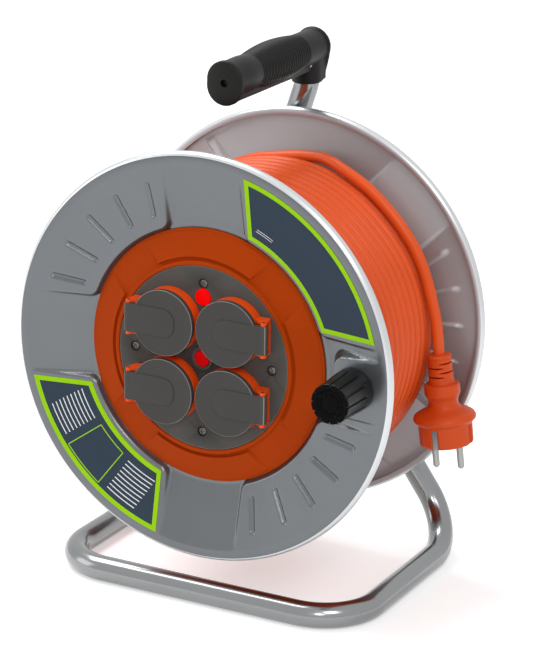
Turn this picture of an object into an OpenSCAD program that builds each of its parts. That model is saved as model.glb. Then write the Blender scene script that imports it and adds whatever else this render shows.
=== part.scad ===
// Cable reel: a drum with four covered sockets turns on a stub axle in a bent tube stand.
// Millimetres. X runs to the right, Y to the rear, Z up.
// Inside the modules the drum axis is Y and the middle of the drum is at the origin;
// placed() then sets the whole reel on the floor.

/* [Drum] */
// Outer diameter of both flanges
flange_d = 290; // [280:1:300]
// Distance between the outermost circles of the two rims
drum_w = 150; // [146:1:165]
// Thickness of the flange wall
flange_t = 1.2; // [1:0.1:2.2]
// How far the rim stands out past its outermost circle
rim_out = 3.2; // [2.6:0.1:3.8]
// Radius of the rounded bead round the rim
bead_r = 3.9; // [3.5:0.1:4.5]
// Width of the flat band inside the bead
band_w = 4; // [3:0.5:6]
// Depth of the dish at the hub
dish_depth = 10.5; // [9:0.5:12]
// Depth of the four raised pads at their inner ends
pad_depth = 5.5; // [4:0.5:6.5]
// Radius of the seat that the bezel lies on
seat_r = 92.5; // [91.5:0.5:95]
// Distance of the pad edges from the two centre lines
pad_gap = 29.5; // [27:0.5:32]
// Slots in each slotted pad
slot_count = 5; // [3:1:6]
// Width of a slot
slot_w = 4; // [3:0.5:5]
// Depth of a slot
slot_depth = 1.5; // [1:0.1:2]
// Turn of the rear flange against the front one, in degrees
rear_turn = 44; // [0:1:90]
// Outer diameter of the barrel
barrel_d = 162; // [158:1:168]
// Wall of the barrel
barrel_wall = 3; // [2.5:0.5:4]
// Screws that hold each flange to the barrel
flange_screws_n = 6; // [4:1:8]

/* [Cable] */
// Diameter of the cable
cable_d = 8; // [7:0.5:9]
// Step from one turn to the next
wound_pitch = 8.6; // [8.5:0.1:9.5]
// Layers of cable under the outer one
wound_layers = 4; // [2:1:4]
// Clear space between a loose turn and what it lies on
lay_gap = 0.3; // [0.2:0.1:0.5]

/* [Bezel and socket plate] */
// Outer diameter of the bezel
bezel_d = 180.4; // [178:0.2:182]
// Rise of the raised bezel panels over the low ones
panel_rise = 1.6; // [1:0.1:2]
// Angle that a raised bezel panel spans at its inner edge
panel_span = 60.4; // [50:0.2:66]
// Angle that it is wider by at its outer edge
panel_flare = 8; // [0:0.5:12]
// Diameter of the socket plate
plate_d = 130.6; // [129:0.2:132]
// Thickness of the socket plate
plate_t = 3; // [2.5:0.1:3.5]
// Depth of the face of the socket plate behind the rim circle
plate_depth = 3; // [2:0.5:4]
// Radius of the circle that the plate screws stand on
screw_r = 53; // [52:0.5:54]
// Height of the pilot lamp over the drum axis
lamp_z = 43.5; // [42:0.5:44]
// Diameter of the lamp lens and of the reset button
lamp_d = 12; // [10:0.5:12]
// Travel of the reset button
button_travel = 2.5; // [1.5:0.5:3]

/* [Sockets] */
// Distance between neighbouring socket centres
socket_pitch = 49.2; // [48:0.2:50]
// Diameter of the socket well
well_d = 39; // [38.5:0.1:39.5]
// Depth of the socket well
well_depth = 17.5; // [16:0.5:19]
// Outer diameter of the socket collar
collar_d = 46; // [44:0.5:46.5]
// Height of the socket collar over the plate
collar_h = 8.2; // [7:0.2:9]
// Distance between the two contact holes
contact_pitch = 19; // [18:0.5:20]
// Diameter of the contact holes
contact_d = 5.5; // [5:0.1:6]
// Diameter of the lids
lid_d = 46.5; // [46:0.1:47]
// Thickness of the lids
lid_t = 4; // [3.5:0.1:4.5]
// Distance from the socket centre to the hinge axis
hinge_x = 27.5; // [27:0.5:28.5]
// Width of the hinge tongue of a lid
tongue_w = 20; // [18:0.2:22]
// Diameter of the hinge pins
pin_d = 2.5; // [2:0.1:2.6]
// Running clearance of the pins and of the axle, on the radius
fit = 0.05; // [0.03:0.01:0.08]

/* [Knob] */
// Distance of the knob from the drum axis
knob_x = 117; // [115:0.5:118]
// Length of the knob
knob_len = 34; // [28:1:38]
// Diameter of the knob next to the flange
knob_d = 30; // [28:0.5:32]
// Diameter of the knob at its front
knob_front_d = 27; // [24:0.5:28]
// Diameter of the bolt that the knob turns on
bolt_d = 8; // [7:0.5:9]
// Flutes round the knob
knob_flutes = 12; // [8:1:16]

/* [Stand] */
// Height of the drum axis over the floor
axle_h = 179; // [176:1:190]
// Outer diameter of the stand tube
tube_d = 18; // [16:0.5:19]
// Wall of the stand tube
tube_wall = 1.5; // [1:0.1:2]
// Distance between the middles of the two floor bars
base_w = 234; // [224:1:250]
// Distance of the rear plane of the stand from the middle of the drum, at axle height
stand_y = 96; // [95:0.5:102]
// Lean of the rear plane towards the drum, per unit of height
stand_lean = 0.036; // [0.02:0.002:0.05]
// Radius of the floor bends, to the middle of the tube
bend_r = 40; // [32:1:44]
// Radius of the bend inside the grip
grip_bend_r = 19; // [18:0.5:20]
// Diameter of the stub axle
axle_d = 16; // [14:0.5:17]
// Diameter of the threaded end of the axle
thread_d = 10; // [8:0.5:11]

/* [Grip] */
// Height of the grip axis over the drum axis
grip_z = 182.5; // [180:0.5:190]
// Sideways place of the grip
grip_x = -7; // [-10:0.5:-5]
// Length of the grip
grip_len = 134; // [125:1:136]
// Radius of the grip where it is fattest
grip_r = 15.4; // [14.5:0.1:16]
// Radius of the grip at both ends of the ribs
grip_end_r = 12.6; // [12.2:0.1:13]
// Ribs round the grip
grip_ribs = 20; // [12:1:24]

/* [Plug] */
// Diameter of the wide disc of the plug
plug_disc_d = 44.5; // [42:0.5:45]
// Diameter of the part of the plug that enters a socket
plug_nose_d = 38.2; // [37.5:0.1:38.4]
// Diameter of the plug pins
plug_pin_d = 4.8; // [4.7:0.1:4.9]
// Length of the plug pins
plug_pin_len = 18; // [16:0.5:19]

/* [Hidden] */
$fn = 64;
eps = 0.01;

// Flange
rim_r = flange_d / 2;
bead_c = rim_r - bead_r;              // radius of the middle of the bead
band_r = bead_c - band_w;             // where the dish starts
front_y = -drum_w / 2;
rear_y = drum_w / 2;
hub_face = -dish_depth - flange_t;    // inner face of the flange at the hub, outwards counted
bore_r = 72;                          // opening in the middle of a flange
pad_r0 = seat_r - 1;
pad_r1 = band_r + 2;                  // the pads end in the flat band
floor_a = -22;                        // lower end of the bodies that the flange shell is cut from
screw_ring = bore_r + 5;              // circle of the flange screws
boss_r = 22;
boss_x = knob_x + 5.5;
boss_corner = 8;
slot_in_r = 102.8;
slot_out_r = 124.3;

// Barrel and hub
barrel_r = barrel_d / 2;
barrel_y = rear_y + hub_face;         // half length of the barrel
end_ring_t = 5;
carrier_a = -44;                      // face of the socket carrier, outwards counted
carrier_t = 3;
carrier_back = front_y - carrier_a + carrier_t;
inlet_y = 20;                         // where the cable enters the barrel
inlet_a = 60;
hub_t = 4;
sleeve_len = 54;
sleeve_r = 17;
bush_wall = 4;

// Cable
cable_r = cable_d / 2;
layer_nest = 0.8219;                  // share of its diameter that each layer adds
wound_r = barrel_r + cable_r + wound_layers * cable_d * layer_nest;
wind_steps = 24;
wind_sides = 6;
wind_edge = 12.3;                     // middle of the first and last turn, inwards from the rims
wind_room = 13.5;                     // left free behind the last turn for the free cord
wound_turns = floor(4 * (drum_w - 2 * wind_edge - wind_room) / wound_pitch) / 4;
core_r = wound_r * cos(180 / wind_steps) - cable_r - 0.05;
core_y = barrel_y - lay_gap;
wind_y0 = front_y + wind_edge;
wind_end_a = 310;                     // angle where the winding ends
wind_y1 = wind_y0 + wound_turns * wound_pitch;

// Route of the free cord over the turns: angle, height over its lay radius, distance from the rear rim
cord_lay = wound_r + cable_d + 1.2;
cord_way = concat([for (a = [304 : -18 : 106]) [a, -8.9, 17.2]], [
    [97, -8.8, 17.2], [92.5, -7.9, 17.3], [86, -5.8, 18], [80, -3.1, 19.8], [76.5, -1.4, 22.1],
    [72.5, -0.5, 25.2], [68, -0.2, 28], [62, 0, 29.4], [56, 0, 29.9], [48, 0, 30.8],
    [40, 0.2, 31], [31, 0.3, 30.4], [22, 0.1, 30.7], [13.4, 0.3, 31.3], [6.1, 1.7, 31.6]
]);
cord_route = [for (w = cord_way) [
    (cord_lay + w[1]) * cos(w[0]), rear_y - w[2], (cord_lay + w[1]) * sin(w[0])
]];
cord_fine = 2;                        // rings between two route points
cord_sides = 10;

// Plug
plug_top = [cord_lay + 4, rear_y - 32, -9];
plug_tilt = 7.5;
relief_len = 21;
relief_r = 8.5;
plug_len = 65;                        // top of the relief to the face with the pins
nose_top = -42;
relief_turn = -17;

// Bezel, plate and sockets
bezel_r = bezel_d / 2;
bezel_edge = 1.5;
bezel_in = -4.6;                      // face of the low panels at their inner end
groove_r = 71;
lip_r = 68.5;
lip_a = -2.2;
plate_r = plate_d / 2;
plate_gap = 0.3;
plate_a = -plate_depth;
ledge_t = 2.5;
ledge_r = 59.5;
collar_a = plate_a + collar_h;
well_a = collar_a - well_depth;
socket_back = -33;
socket_hole_r = collar_d / 2 - 2.2;
lid_gap = 1;                          // lid to collar, filled by the gasket
lid_a = collar_a + lid_gap;
tongue_rise = 0.6;
barrel_pin_r = 3.1;
hinge_a = lid_a + lid_t + tongue_rise - barrel_pin_r;
ear_t = 2.2;
ear_gap = 0.2;
ear_x0 = 19.8;
ear_top = 2.1;
gasket_t = 0.9;
tongue_end = -9.3;                    // inner end of the lid tongue
tongue_corner = 8.5;
strip_t = 1;
strip_x = hinge_x - 1.2;
strip_h = 2;
contact_sleeve_r = 3.4;
button_face = plate_a + 1.4;
button_stem = 9;
breaker_a = plate_a - plate_t - 0.1;
sockets = [for (k = [0 : 3])
    [(k % 2 == 0 ? -1 : 1) * socket_pitch / 2, (k < 2 ? 1 : -1) * socket_pitch / 2]];

// Knob
knob_a = rim_out + 0.4;
bolt_head_d = 13;
bolt_head_h = 5;
cap_t = 2;
cap_d = 19;

// Stand
tube_r = tube_d / 2;
half_base = base_w / 2;
floor_z = tube_r - axle_h;
grip_y1 = rear_plane(grip_z) + tube_r + 2.2;
grip_y0 = grip_y1 - grip_len;
tube_end_y = grip_y0 + 14;
knee_z = grip_z - 24;
front_bar_y = front_y;
top_pt = [grip_x, rear_plane(grip_z), grip_z];
knee_pt = [grip_x, rear_plane(knee_z), knee_z];
left_pt = [-half_base, rear_plane(floor_z), floor_z];
right_pt = [half_base, rear_plane(floor_z), floor_z];
// The right leg runs through the drum axis and ends on the left leg
leg_run = -half_base / floor_z;
left_run = (knee_pt.x + half_base) / (knee_z - floor_z);
joint_z = (half_base + left_run * floor_z) / (leg_run + left_run);
joint_pt = [-leg_run * joint_z, rear_plane(joint_z), joint_z];
stand_path = [
    [grip_x, tube_end_y, grip_z], top_pt, knee_pt, left_pt, [-half_base, front_bar_y, floor_z],
    [half_base, front_bar_y, floor_z], right_pt, joint_pt
];
stand_bends = [0, grip_bend_r, 20, bend_r, bend_r, bend_r, bend_r, 0];
bend_lap = 0.4;

// Axle
axle_front = rear_y + hub_face - sleeve_len;
hub_out = rear_y - dish_depth + hub_t;
washer_t = 2;
spacer_r = 14;
nut_h = 5;
nut_gap = 0.5;                        // room for the lean of the leg under the washer
axle_rear = rear_plane(0) + tube_r + nut_gap + nut_h + 1.7;

// The reel stands with the middle of its outline over the origin
leg_dir = unit(joint_pt - right_pt);
rear_bend = bend_r * tan(acos(leg_dir.y) / 2);
rear_most = max(axle_rear, right_pt.y - rear_bend + bend_r + tube_r);
front_most = front_y - knob_a - knob_len;
mid_y = (rear_most + front_most) / 2;

function rear_plane(z) = stand_y - stand_lean * z;
function unit(v) = v / norm(v);
function turn2(p, a) = [p.x * cos(a) - p.y * sin(a), p.x * sin(a) + p.y * cos(a)];
function on_ring(r, a) = [r * cos(a), r * sin(a)];
// Height of the pad surface and of the dish surface at radius r
function pad_at(r) = rim_out - (band_r - r) * (rim_out + pad_depth) / (band_r - pad_r0);
function dish_at(r) = rim_out - (band_r - r) * (rim_out + dish_depth) / (band_r - seat_r);

module placed() translate([0, -mid_y, axle_h]) children();
// Front and rear sides of the drum: Z points out of the drum
module at_front() placed() translate([0, front_y, 0]) rotate([90, 0, 0]) children();
module at_rear() placed() translate([0, rear_y, 0]) rotate([90, 0, 180]) children();
module ring(r1, r0, z0, z1) translate([0, 0, z0]) difference() {
    cylinder(r = r1, h = z1 - z0);
    translate([0, 0, -1]) cylinder(r = r0, h = z1 - z0 + 2);
}
module disc(r, z0, z1) translate([0, 0, z0]) cylinder(r = r, h = z1 - z0);
module around(n, r, start = 0) for (i = [0 : n - 1]) rotate([0, 0, start + i * 360 / n])
    translate([r, 0, 0]) children();
// A rod along Y between two places
module rod_y(r, y0, y1) translate([0, y0, 0]) rotate([-90, 0, 0]) cylinder(r = r, h = y1 - y0);
module box(lo, hi) translate(lo) cube(hi - lo);

// ---- Tube that follows a path with round bends ----

function bend_in(path, radii, i) =
    radii[i] * tan(acos(unit(path[i] - path[i - 1]) * unit(path[i + 1] - path[i])) / 2);

module straight(p, q, r) {
    d = q - p;
    translate(p) rotate([0, acos(d.z / norm(d)), atan2(d.y, d.x)]) cylinder(r = r, h = norm(d));
}

module bend(path, radii, i, r) {
    a = unit(path[i] - path[i - 1]);
    b = unit(path[i + 1] - path[i]);
    n = unit(b - a * (a * b));
    c = path[i] - a * bend_in(path, radii, i) + n * radii[i];
    z = cross(-n, a);
    multmatrix([[-n.x, a.x, z.x, c.x], [-n.y, a.y, z.y, c.y], [-n.z, a.z, z.z, c.z]])
        rotate_extrude(angle = acos(a * b)) translate([radii[i], 0]) circle(r = r);
}

// The bends are a hair thinner than the straights and start inside them
module tube_run(path, radii, r, first_back = 0, last_back = 0) {
    n = len(path) - 1;
    for (i = [0 : n - 1]) {
        d = unit(path[i + 1] - path[i]);
        p = path[i] + d * (i == 0 ? first_back : bend_in(path, radii, i) - bend_lap);
        q = path[i + 1] - d * (i == n - 1 ? last_back : bend_in(path, radii, i + 1) - bend_lap);
        straight(p, q, r);
    }
    for (i = [1 : n - 1]) bend(path, radii, i, r - 0.05);
}

// ---- Swept cable ----

// Rings of points round the middle line; each ring is square to the line
function ring_frame(d) = let(up = abs(d.y) < 0.9 ? [0, 1, 0] : [1, 0, 0], u = unit(cross(d, up)))
    [u, cross(d, u)];
function sweep_points(line, r, sides) = [
    for (i = [0 : len(line) - 1])
        let(
            a = line[max(i - 1, 0)],
            b = line[min(i + 1, len(line) - 1)],
            f = ring_frame(unit(b - a))
        )
        for (k = [0 : sides - 1])
            line[i] + r * (cos(360 * k / sides) * f[0] + sin(360 * k / sides) * f[1])
];
function sweep_faces(rings, sides) = concat(
    [for (k = [1 : sides - 2]) [0, k + 1, k]],
    [for (i = [0 : rings - 2], k = [0 : sides - 1], half = [0, 1])
        let(a = i * sides + k, b = i * sides + (k + 1) % sides)
        half == 0 ? [a, b, b + sides] : [a, b + sides, a + sides]],
    [for (k = [1 : sides - 2]) let(e = (rings - 1) * sides) [e, e + k, e + k + 1]]
);
module swept(line, r, sides)
    polyhedron(points = sweep_points(line, r, sides), faces = sweep_faces(len(line), sides));

// Smooth line through the route points
function spline_at(p, i, t) =
    let(
        a = p[max(i - 1, 0)], b = p[i], c = p[i + 1], d = p[min(i + 2, len(p) - 1)]
    )
    0.5 * (2 * b + (c - a) * t + (2 * a - 5 * b + 4 * c - d) * t * t + (3 * b - 3 * c + d - a) * t * t * t);
function smooth(p, fine) = concat(
    [for (i = [0 : len(p) - 2], k = [0 : fine - 1]) spline_at(p, i, k / fine)], [p[len(p) - 1]]
);

function wind_at(t) = let(a = wind_end_a + (1 - t) * 360 * wound_turns)
    [wound_r * cos(a), wind_y0 + (wind_y1 - wind_y0) * t, wound_r * sin(a)];
wind_line = [for (i = [0 : wound_turns * wind_steps]) wind_at(i / (wound_turns * wind_steps))];
// Straight ends, one cable diameter long
wind_dir0 = unit(wind_line[0] - wind_line[1]);
wind_dir1 = unit(wind_line[len(wind_line) - 1] - wind_line[len(wind_line) - 2]);
wind_full = concat([wind_line[0] + wind_dir0 * cable_d], wind_line,
    [wind_line[len(wind_line) - 1] + wind_dir1 * cable_d]);
plug_dir = [sin(plug_tilt), 0, -cos(plug_tilt)];
cord_points = concat(cord_route, [plug_top - plug_dir * cable_d * 0.8, plug_top]);
cord_line = smooth(cord_points, cord_fine);
// Least gap between neighbouring turns, taken on the points of the middle line
turn_gap = min([for (i = [0 : wind_steps * 2], k = [-3 : 3])
    norm(wind_line[i] - wind_line[i + wind_steps + k]) - cable_d]);
echo(least_gap_of_winding = turn_gap);

// ---- Stand ----

module stand_tube() placed() color("silver") difference() {
    tube_run(stand_path, stand_bends, tube_r);
    tube_run(stand_path, stand_bends, tube_r - tube_wall, -1, tube_d);
    rod_y(thread_d / 2 + 0.1, rear_plane(0) - tube_d, rear_plane(0) + tube_d);
}

module grip_outline() {
    rib_y0 = 34;
    rib_y1 = 106;
    bulge = grip_r - grip_end_r;
    pitch = (rib_y1 - rib_y0) / grip_ribs;
    rotate_extrude() polygon(concat(
        [[0, 3.5], [grip_end_r - 0.4, 3.5], [grip_end_r, rib_y0 - 0.8]],
        [for (i = [0 : grip_ribs - 1], s = [0.2, 0.45, 0.55, 0.8])
            let(t = (i + s) / grip_ribs, deep = s == 0.2 || s == 0.8 ? 0 : 0.9)
            [grip_end_r + bulge * sin(180 * t) - deep, rib_y0 + pitch * (i + s)]],
        [[grip_end_r, rib_y1 + 0.8], [grip_end_r, grip_len - 3], [0, grip_len - 3]]
    ));
}

module handle_grip() placed() color("#33312e") difference() {
    union() {
        // Ribbed body, a little over the tube axis
        translate([grip_x, grip_y0, grip_z + 1.6]) rotate([-90, 0, 0]) grip_outline();
        // Front flange
        translate([grip_x, grip_y0, grip_z]) rotate([-90, 0, 0]) hull() {
            translate([0, 2, 0]) cylinder(r = 13.5, h = 4, $fn = 32);
            translate([0, -2, 0]) cylinder(r = 13.5, h = 4, $fn = 32);
        }
        // Smooth band along the underside
        box([grip_x - 7.5, grip_y0 + 2, grip_z - 12.9], [grip_x + 7.5, grip_y1 - 3, grip_z]);
        // Rear flange that runs down behind the socket
        translate([grip_x, grip_y1, grip_z]) rotate([90, 0, 0]) hull() {
            translate([0, 1.5, 0]) cylinder(r = 14, h = 3, $fn = 32);
            translate([0, -13, 0]) cylinder(r = 10.5, h = 3, $fn = 32);
        }
        // Socket for the tube
        straight([grip_x, rear_plane(knee_z), knee_z + 1.5], [grip_x, rear_plane(grip_z), grip_z],
            tube_r + 2);
        box([grip_x - 11, rear_plane(grip_z), knee_z + 3], [grip_x + 11, grip_y1 - 1, grip_z]);
    }
    tube_run([for (i = [0 : 3]) stand_path[i]], stand_bends, tube_r + fit, 0, 200);
    translate([grip_x, grip_y0, grip_z]) rotate([-90, 0, 0]) translate([0, 0, -1])
        cylinder(r = 2.6, h = 30);
    // The underside of the body is flat
    box([grip_x - 30, grip_y0 + 6, grip_z - 40], [grip_x + 30, grip_y0 + 108, grip_z - 12.9]);
}

module axle() placed() color("lightgray") difference() {
    union() {
        rod_y(axle_d / 2, axle_front, rear_plane(0) - tube_r - 1);
        rod_y(thread_d / 2, axle_front + 4, axle_rear);
    }
    // Groove for the circlip
    translate([0, axle_front + 2.5, 0]) rotate([-90, 0, 0]) ring(axle_d, axle_d / 2 - 1, 0, 1.5);
}

module axle_spacer() placed() color("silver") difference() {
    rod_y(spacer_r, hub_out + washer_t + 0.1, rear_plane(0));
    rod_y(axle_d / 2 + fit, hub_out - 5, rear_plane(0) + 5);
    tube_run([right_pt, joint_pt], [0, 0], tube_r);
}

module thrust_washer() placed() color("white")
    translate([0, hub_out + 0.05, 0]) rotate([-90, 0, 0]) ring(spacer_r + 1, axle_d / 2 + fit, 0, washer_t);

module axle_circlip() placed() color("dimgray") {
    translate([0, axle_front + 2.6, 0]) rotate([-90, 0, 0]) difference() {
        ring(axle_d / 2 + 2.5, axle_d / 2 - 0.95, 0, 1.3);
        box([-2.5, 0, -1], [2.5, axle_d, 3]);
    }
}

module axle_nut() placed() color("gainsboro") {
    translate([0, rear_plane(0) + tube_r + nut_gap, 0]) rotate([-90, 0, 0]) {
        ring(10, thread_d / 2 + fit, 0, 1.5);
        difference() {
            translate([0, 0, 1.5]) cylinder(r = 9.2, h = nut_h, $fn = 6);
            cylinder(r = thread_d / 2 + fit, h = nut_h * 2);
        }
    }
}

// ---- Flanges ----

module pads_outline(g) intersection() {
    difference() {
        circle(r = pad_r1 + (g > 0 ? 1 : 0), $fn = 180);
        circle(r = pad_r0 + g, $fn = 180);
    }
    for (k = [0 : 3]) rotate([0, 0, k * 90]) translate([pad_gap + g, pad_gap + g]) square(rim_r);
}

module boss_outline(g) intersection() {
    circle(r = pad_r1 + (g > 0 ? 1 : 0), $fn = 180);
    polygon(concat(
        [for (a = [90 : 15 : 180])
            [boss_x - boss_r + boss_corner, boss_r - boss_corner] + on_ring(boss_corner - g, a)],
        [for (a = [180 : 15 : 270])
            [boss_x - boss_r + boss_corner, boss_corner - boss_r] + on_ring(boss_corner - g, a)],
        [[boss_x + 30, g - boss_r], [boss_x + 30, boss_r - g]]
    ));
}

// The flange is the shell between two such bodies, one wall apart
module flange_body(g) {
    low = floor_a - g;
    rotate_extrude($fn = 180) polygon([
        [bore_r - g, low], [bore_r - g, -dish_depth - g], [seat_r, -dish_depth - g],
        [band_r, rim_out - g], [bead_c + g, rim_out - g], [bead_c + g, low]
    ]);
    intersection() {
        translate([0, 0, low]) linear_extrude(height = rim_out - low + 10) pads_outline(g);
        rotate_extrude($fn = 180) polygon([
            [pad_r0 - 5, low], [pad_r0 - 5, pad_at(pad_r0 - 5) - g], [band_r, rim_out - g],
            [bead_c - 0.5, rim_out - g], [bead_c - 0.5, low]
        ]);
    }
    translate([0, 0, low]) linear_extrude(height = rim_out - g - low) boss_outline(g);
}

// Straight groove with round ends, drawn as an outline
function groove_outline(p, q, w) =
    let(d = unit(q - p), turn = atan2(d.y, d.x))
    concat(
        [for (a = [90 : 30 : 270]) p + w / 2 * on_ring(1, turn + a)],
        [for (a = [-90 : 30 : 90]) q + w / 2 * on_ring(1, turn + a)]
    );
module slots(g) for (side = [135, -45], i = [0 : slot_count - 1])
    let(k = i - (slot_count - 1) / 2)
    translate([0, 0, floor_a]) linear_extrude(height = 40)
        polygon(groove_outline(on_ring(slot_in_r - g, side + 11.3 * k),
            on_ring(slot_out_r + g, side + 12.6 * k),
            slot_w + 2 * g));
module pad_layer(lo, hi) rotate_extrude($fn = 180) polygon([
    [slot_in_r - 8, pad_at(slot_in_r - 8) + lo], [slot_out_r + 8, pad_at(slot_out_r + 8) + lo],
    [slot_out_r + 8, pad_at(slot_out_r + 8) + hi], [slot_in_r - 8, pad_at(slot_in_r - 8) + hi]
]);

module flange(holes_at = 30) {
    difference() {
        union() {
            difference() {
                flange_body(0);
                flange_body(flange_t);
            }
            intersection() {
                slots(1);
                pad_layer(-flange_t - slot_depth, -flange_t / 2);
            }
        }
        intersection() {
            slots(0);
            pad_layer(-slot_depth, 5);
        }
        around(flange_screws_n, screw_ring, holes_at) translate([0, 0, hub_face - 5])
            cylinder(r = 2.2, h = 20);
        translate([knob_x, 0, -10]) cylinder(r = bolt_d / 2 + 0.1, h = 20);
    }
    // Rolled bead of the rim
    rotate_extrude($fn = 180) translate([bead_c, rim_out - bead_r]) intersection() {
        difference() {
            circle(r = bead_r);
            circle(r = bead_r - flange_t);
        }
        translate([-1.2, -10]) square([20, 20]);
    }
}

module front_flange() at_front() color("#a3a6a9") flange();
module rear_flange() at_rear() color("#a3a6a9") rotate([0, 0, rear_turn]) flange(30 - rear_turn);

// Cover sheet on one pad
module label(turn) {
    inset = 3.5;
    intersection() {
        translate([0, 0, floor_a]) linear_extrude(height = 40) intersection() {
            difference() {
                circle(r = band_r - 1, $fn = 180);
                circle(r = pad_r0 + inset, $fn = 180);
            }
            rotate([0, 0, turn]) translate([pad_gap + inset, pad_gap + inset]) square(rim_r);
        }
        rotate_extrude($fn = 180) polygon([
            [pad_r0, pad_at(pad_r0) + 0.02], [band_r, rim_out + 0.02],
            [band_r, rim_out + 0.35], [pad_r0, pad_at(pad_r0) + 0.35]
        ]);
    }
}
module label_upper() at_front() color("#344050") label(0);
module label_lower() at_front() color("#344050") label(180);

// ---- Barrel, hub and fasteners ----

module drum_barrel() placed() color("#c8501e") translate([0, 0, 0]) rotate([-90, 0, 0]) difference() {
    union() {
        ring(barrel_r, barrel_r - barrel_wall, -barrel_y, barrel_y);
        for (s = [-1, 1]) scale_z(s) ring(barrel_r - 1, bore_r + 0.3, barrel_y - end_ring_t, barrel_y);
        // Ledge for the socket carrier
        ring(barrel_r - 1, barrel_r - barrel_wall - 5, carrier_back, carrier_back + 4);
        around(flange_screws_n, barrel_r - 4.4, 30) for (s = [-1, 1]) scale_z(s)
            disc(3.6, barrel_y - 16, barrel_y - 1);
    }
    around(flange_screws_n, screw_ring, 30) disc(2, -barrel_y - 5, -barrel_y + 18);
    around(flange_screws_n, screw_ring, 30) disc(2, barrel_y - 18, barrel_y + 5);
    around(3, barrel_r - barrel_wall - 2.6, -75) disc(1.52, carrier_back - 1, carrier_back + 8);
    // Hole where the cable enters
    translate([0, 0, inlet_y]) rotate([0, 90, -inlet_a]) translate([0, 0, barrel_r - 12])
        cylinder(r = cable_r + 0.6, h = 20);
}
module scale_z(s) if (s > 0) children(); else mirror([0, 0, 1]) children();

// Pan screw pointing down, its head seat at height 0
module pan_screw(d, len, head_d, head_h) {
    disc(d / 2, -len, 0.5);
    difference() {
        disc(head_d / 2, 0, head_h);
        for (t = [0, 90]) rotate([0, 0, t])
            box([-head_d * 0.32, -0.5, head_h * 0.45], [head_d * 0.32, 0.5, head_h + 1]);
    }
}
module front_screws() at_front() color("silver")
    around(flange_screws_n, screw_ring, 30) translate([0, 0, -dish_depth + 0.02]) pan_screw(4, 12, 7, 2.6);

module rear_hub() at_rear() color("#3a3a3a") difference() {
    union() {
        disc(bezel_r, -dish_depth + 0.02, -dish_depth + hub_t);
        ring(bore_r - 0.3, bore_r - 3, hub_face - 8, -dish_depth + 1);
        disc(sleeve_r, hub_face - sleeve_len, -dish_depth + 1);
        for (a = [15 : 60 : 315]) rotate([0, 0, a])
            box([sleeve_r - 1.5, -1.5, hub_face - 6.5], [bore_r - 1.6, 1.5, -dish_depth + 1.5]);
    }
    disc(axle_d / 2 + bush_wall, hub_face - sleeve_len - 1, -dish_depth + hub_t + 1);
    around(flange_screws_n, screw_ring, 30) disc(2.2, hub_face - 10, 5);
    // Shallow ring recess in the visible face
    ring(bezel_r - 8.5, sleeve_r + 14, -dish_depth + hub_t - 1.2, 5);
}
module hub_bush() at_rear() color("white")
    ring(axle_d / 2 + bush_wall - 0.02, axle_d / 2 + fit, hub_face - sleeve_len + 4.5,
        -dish_depth + hub_t - 0.1);
module rear_screws() at_rear() color("silver")
    around(flange_screws_n, screw_ring, 30)
        translate([0, 0, -dish_depth + hub_t - 1.2 + 0.02]) pan_screw(4, 14, 7, 2.6);

module socket_carrier() at_front() color("#444444") difference() {
    union() {
        disc(barrel_r - barrel_wall - 0.3, carrier_a - carrier_t, carrier_a);
        around(4, screw_r, 90) disc(3.4, carrier_a - 1, plate_a - plate_t - 0.02);
        around(4, screw_r, 90) box([-1, -1, carrier_a - 1],
            [barrel_r - barrel_wall - 1 - screw_r, 1, carrier_a + 12]);
    }
    around(4, screw_r, 90) disc(1.6, plate_a - plate_t - 18, 0);
    for (p = sockets) translate([p.x, p.y]) disc(12, carrier_a - 5, carrier_a + 5);
    disc(12, carrier_a - 5, carrier_a + 5);
    around(3, barrel_r - barrel_wall - 2.6, 75) disc(1.6, carrier_a - 5, carrier_a + 5);
}
module carrier_screws() at_front() color("silver")
    around(3, barrel_r - barrel_wall - 2.6, 75) translate([0, 0, carrier_a + 0.02]) pan_screw(3, 6, 5, 2);

// ---- Cable ----

module winding_core() placed() color("#d8521a") rotate([-90, 0, 0])
    ring(core_r - 0.02, barrel_r + 0.02, -core_y, core_y);
module winding() placed() color("#e0591f") swept(wind_full, cable_r, wind_sides);
module free_cord() placed() color("#e0591f") swept(cord_line, cable_r, cord_sides);

// ---- Plug: drawn with its axis on Z, the relief up, then hung on the cord ----

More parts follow.
